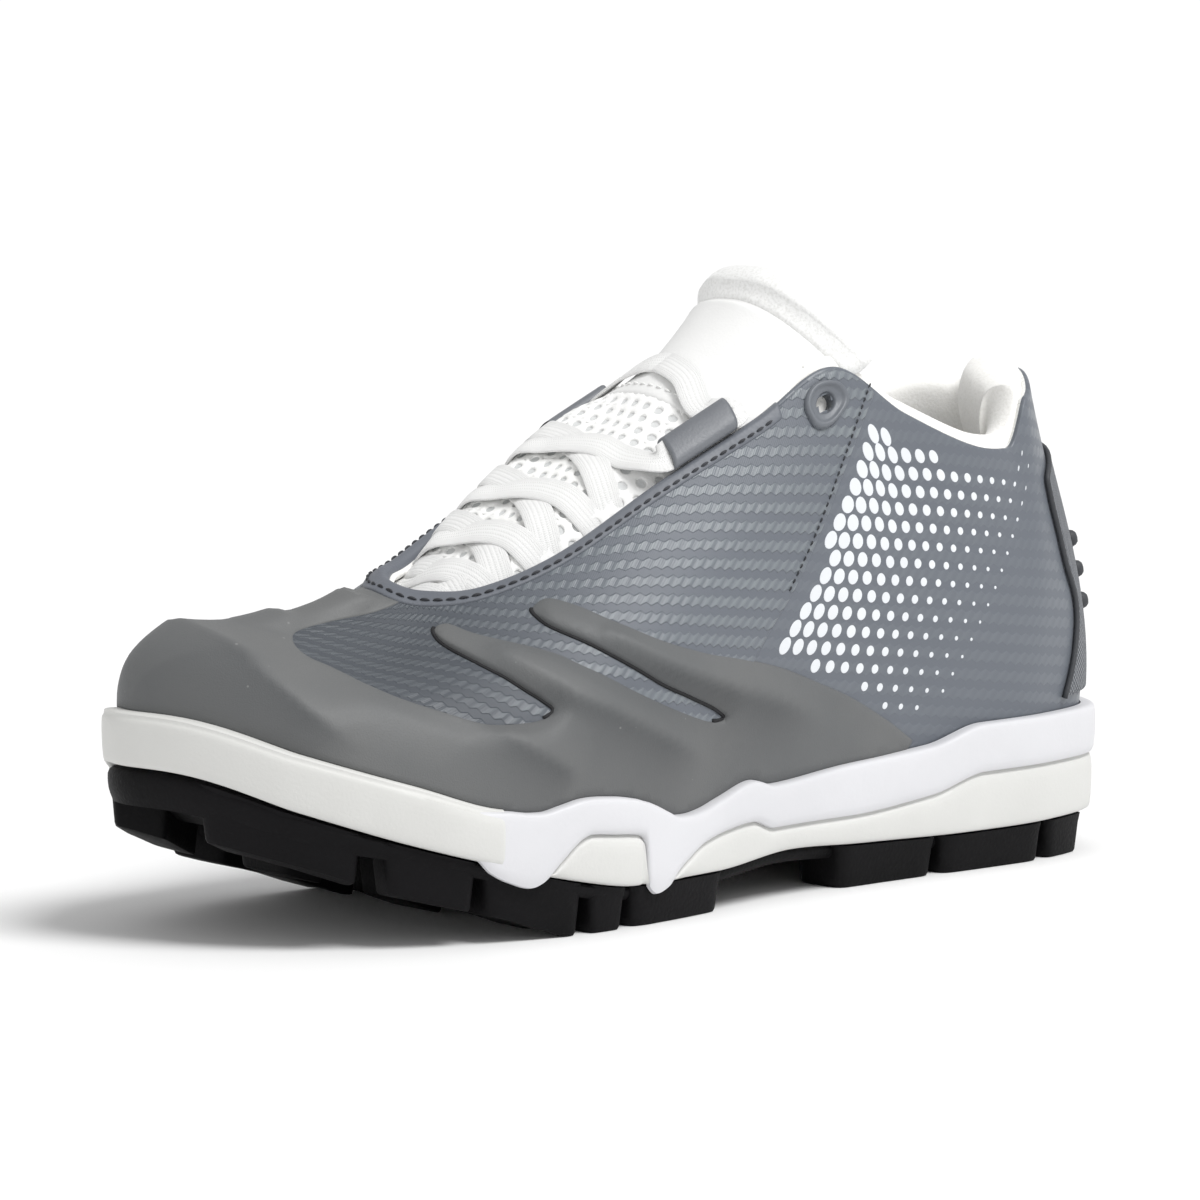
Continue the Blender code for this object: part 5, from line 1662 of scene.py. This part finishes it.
def make_frame():
    """Harder white frame round the rear and the ball of the foot."""
    ribs = np.linspace(0.0, 11.0, 2000)
    last = ribs[np.argmax(outline_y(ribs) < FRAME_FRONT_Y - FRAME_TUCK)]
    u = np.linspace(-last, last, 900)
    y = outline_y(u)
    top, low = frame_edge(2, y), frame_edge(3, y)
    shoulder = frame_shoulder(y) + 0.35
    back = -RABBET + 0.35
    face_out = back + FRAME_THICK
    outer = np.array((
        seat_point(u, top, SEAT_GAP),
        sole_point(u, face_out - 0.7, top),
        sole_point(u, face_out, top - 1.4),
        sole_point(u, face_out - 0.2, low + 0.4),
        sole_point(u, back, low),
    ))
    inner = np.array((sole_point(u, back, shoulder), seat_point(u, shoulder, SEAT_GAP)))
    sections = np.concatenate((rounded(outer, 2), inner)).transpose(1, 0, 2)
    points, faces = swept(sections)
    build("midsole_frame_shell", points, faces, [PAINT["frame"]], ["midsole_frame"],
          sharp=40.0)


PLATE_INSET = 1.45
LUG_SET = 2.0
ARCH_INSET = 3.0
LUG_RINGS = ((0.0, 1.12), (0.25, 1.05), (0.75, 0.97), (0.93, 0.94), (0.985, 0.9), (1.0, 0.82))


def lug(place, half_u, half_v):
    """Moulded stud: place(a, b) gives its plan, a and b run from -1 to 1."""
    turns = full_turn(40)
    a, b = flattened(np.cos(turns), 0.24), flattened(np.sin(turns), 0.24)
    rings = []
    for depth, size in LUG_RINGS:
        shrink_u = 1.0 + (size - 1.0) * 6.0 / max(half_u, 3.0)
        shrink_v = 1.0 + (size - 1.0) * 6.0 / max(half_v, 3.0)
        ring = place(a * shrink_u, b * shrink_v)
        root = level(3, ring[:, 1]) - PLATE_BOND
        foot = level(5, ring[:, 1])
        ring[:, 2] = (1.0 - depth) * root + depth * foot
        rings.append(ring)
    return swept(rings)


def edge_lug(first, last, reach):
    middle, half = 0.5 * (first + last), 0.5 * (last - first)
    centre, depth = -0.5 * (reach + LUG_SET), 0.5 * (reach - LUG_SET)
    return lug(lambda a, b: sole_point(middle + half * a, centre + depth * b, 0.0), RIB_SPAN * half, depth)


def middle_lug(x, y, half_x, half_y):
    return lug(lambda a, b: stack(x + half_x * a, y + half_y * b, 0.0), half_x, half_y)


def make_outsole():
    """Black rubber plate with its moulded studs."""
    u = SOLE_RIBS
    y = outline_y(u)
    top, thick = level(3, y) - PLATE_BOND, level(4, y)
    inset = PLATE_INSET + ARCH_INSET * smooth_step(y, -50.0, -30.0)
    outer = np.array((
        sole_point(u, -8.0, top),
        sole_point(u, -inset, top),
        sole_point(u, 0.1 - inset, top - 0.6 * thick),
        sole_point(u, -1.2 - inset, top - thick),
    ))
    rings = np.concatenate((rounded(outer, 2), sole_point(u, -10.0, top - thick)[None]))
    parts = [capped(rings)]
    for _, first, last, reach in EDGE_LUGS:
        parts.append(edge_lug(first, last, reach))
        parts.append(edge_lug(mirrored(last), mirrored(first), reach))
    parts += [middle_lug(*row[1:]) for row in MIDDLE_LUGS]
    points, faces = joined(parts)
    build("outsole_studs", points, faces, [PAINT["rubber"]], ["outsole"], sharp=35.0)


def make_insole():
    """Thin foam sheet on the cup's floor."""
    u = SOLE_RIBS
    inset = -(RIM_INSET + WALL + 0.9)
    base = floor_z(u) + SEAT_GAP
    outer = np.array((
        sole_point(u, inset - 1.2, base),
        sole_point(u, inset, base + 1.0),
        sole_point(u, inset, base + INSOLE_THICK - 1.0),
        sole_point(u, inset - 1.2, base + INSOLE_THICK),
    ))
    rings = rounded(outer, 2)
    points, faces = capped(rings)
    build("insole_cover", points, faces, [PAINT["insole"]], ["insole"], chart=points)


# Camera, light and floor


# Camera: sizes in millimetres, angles in degrees
CAMERA_LENS = 177.6
CAMERA_SENSOR = 36.0
CAMERA_AWAY = 1400.0
CAMERA_HIGH = 214.0
CAMERA_AZIMUTH = 50.0
CAMERA_DOWN = 5.92
CAMERA_TURN = 50.26
FLOOR_HALF = 40.0


def make_camera():
    """The photo's angle: a long lens from the toe's lateral side, a little above."""
    camera = bpy.data.objects.new("camera", bpy.data.cameras.new("camera"))
    camera.data.lens = CAMERA_LENS
    camera.data.sensor_width = CAMERA_SENSOR
    camera.data.clip_end = 20.0
    azimuth = math.radians(CAMERA_AZIMUTH)
    place = np.array((math.sin(azimuth) * CAMERA_AWAY, -math.cos(azimuth) * CAMERA_AWAY, CAMERA_HIGH))
    camera.location = (place - CENTRE) * MM
    camera.rotation_euler = (math.radians(90.0 - CAMERA_DOWN), 0.0, math.radians(CAMERA_TURN))
    bpy.context.scene.collection.objects.link(camera)
    bpy.context.scene.camera = camera


def make_world():
    """Soft studio surroundings: white at the horizon, dimmer overhead."""
    world = bpy.data.worlds.new("studio")
    world.use_nodes = True
    height = add(world, "SeparateXYZ", {0: add(world, "TexCoord").outputs["Generated"]}).outputs[2]
    dim = ramp(world, height, 0.25, 0.65)
    near_floor = calc(world, "MULTIPLY_ADD", ramp(world, height, 0.02, 0.08), -0.27, 1.05)
    power = calc(world, "MULTIPLY_ADD", dim, -0.26, near_floor)
    world.node_tree.links.new(power, world.node_tree.nodes["Background"].inputs["Strength"])
    world.node_tree.nodes["Background"].inputs["Color"].default_value = (1.0, 1.0, 1.0, 1.0)
    bpy.context.scene.world = world


def make_lamp(name, place, power, spread):
    """Broad lamp far away, aimed at the shoe."""
    lamp = bpy.data.lights.new(name, "SUN")
    lamp.energy = power
    lamp.angle = math.radians(spread)
    item = bpy.data.objects.new(name, lamp)
    item.rotation_euler = Vector(place).to_track_quat("Z", "Y").to_euler()
    bpy.context.scene.collection.objects.link(item)


def make_stage():
    """Pale floor, white surroundings and one broad lamp."""
    bpy.context.scene.view_settings.view_transform = "Standard"
    mesh = bpy.data.meshes.new("floor")
    corners = [(FLOOR_HALF * x, FLOOR_HALF * y, 0.0) for x, y in ((-1, -1), (1, -1), (1, 1), (-1, 1))]
    mesh.from_pydata(corners, [], [(0, 1, 2, 3)])
    mesh.materials.append(material("floor_paper", (0.9, 0.9, 0.9, 1.0), 0.9, specular=0.0))
    floor = bpy.data.objects.new("floor", mesh)
    bpy.context.scene.collection.objects.link(floor)
    make_world()
    make_lamp("key", (0.8, 0.25, 1.3), 2.3, 28.0)


make_upper()
make_front_panel()
make_edging()
make_guard()
make_heel_strip()
make_eyelet("eyelet_lateral_ring", EYELET_RIB, "eyelet_lateral")
make_eyelet("eyelet_medial_ring", mirrored(EYELET_RIB), "eyelet_medial")
make_tunnel("tunnel_lateral_fold", *TUNNEL_RIBS, "tunnel_lateral")
make_tunnel("tunnel_medial_fold", *(mirrored(u) for u in TUNNEL_RIBS[::-1]), "tunnel_medial")
make_throat_stitches()
make_panel_stitches()
DOTS = dot_places()
make_dots("print_lateral", DOTS)
make_dots("print_medial", [(mirrored(u), v, radius) for u, v, radius in DOTS])
make_lining()
make_lining_rim()
make_tongue()
make_tongue_panel()
make_tongue_mesh()
make_laces()
make_midsole()
make_frame()
make_outsole()
make_insole()
make_stage()
make_camera()
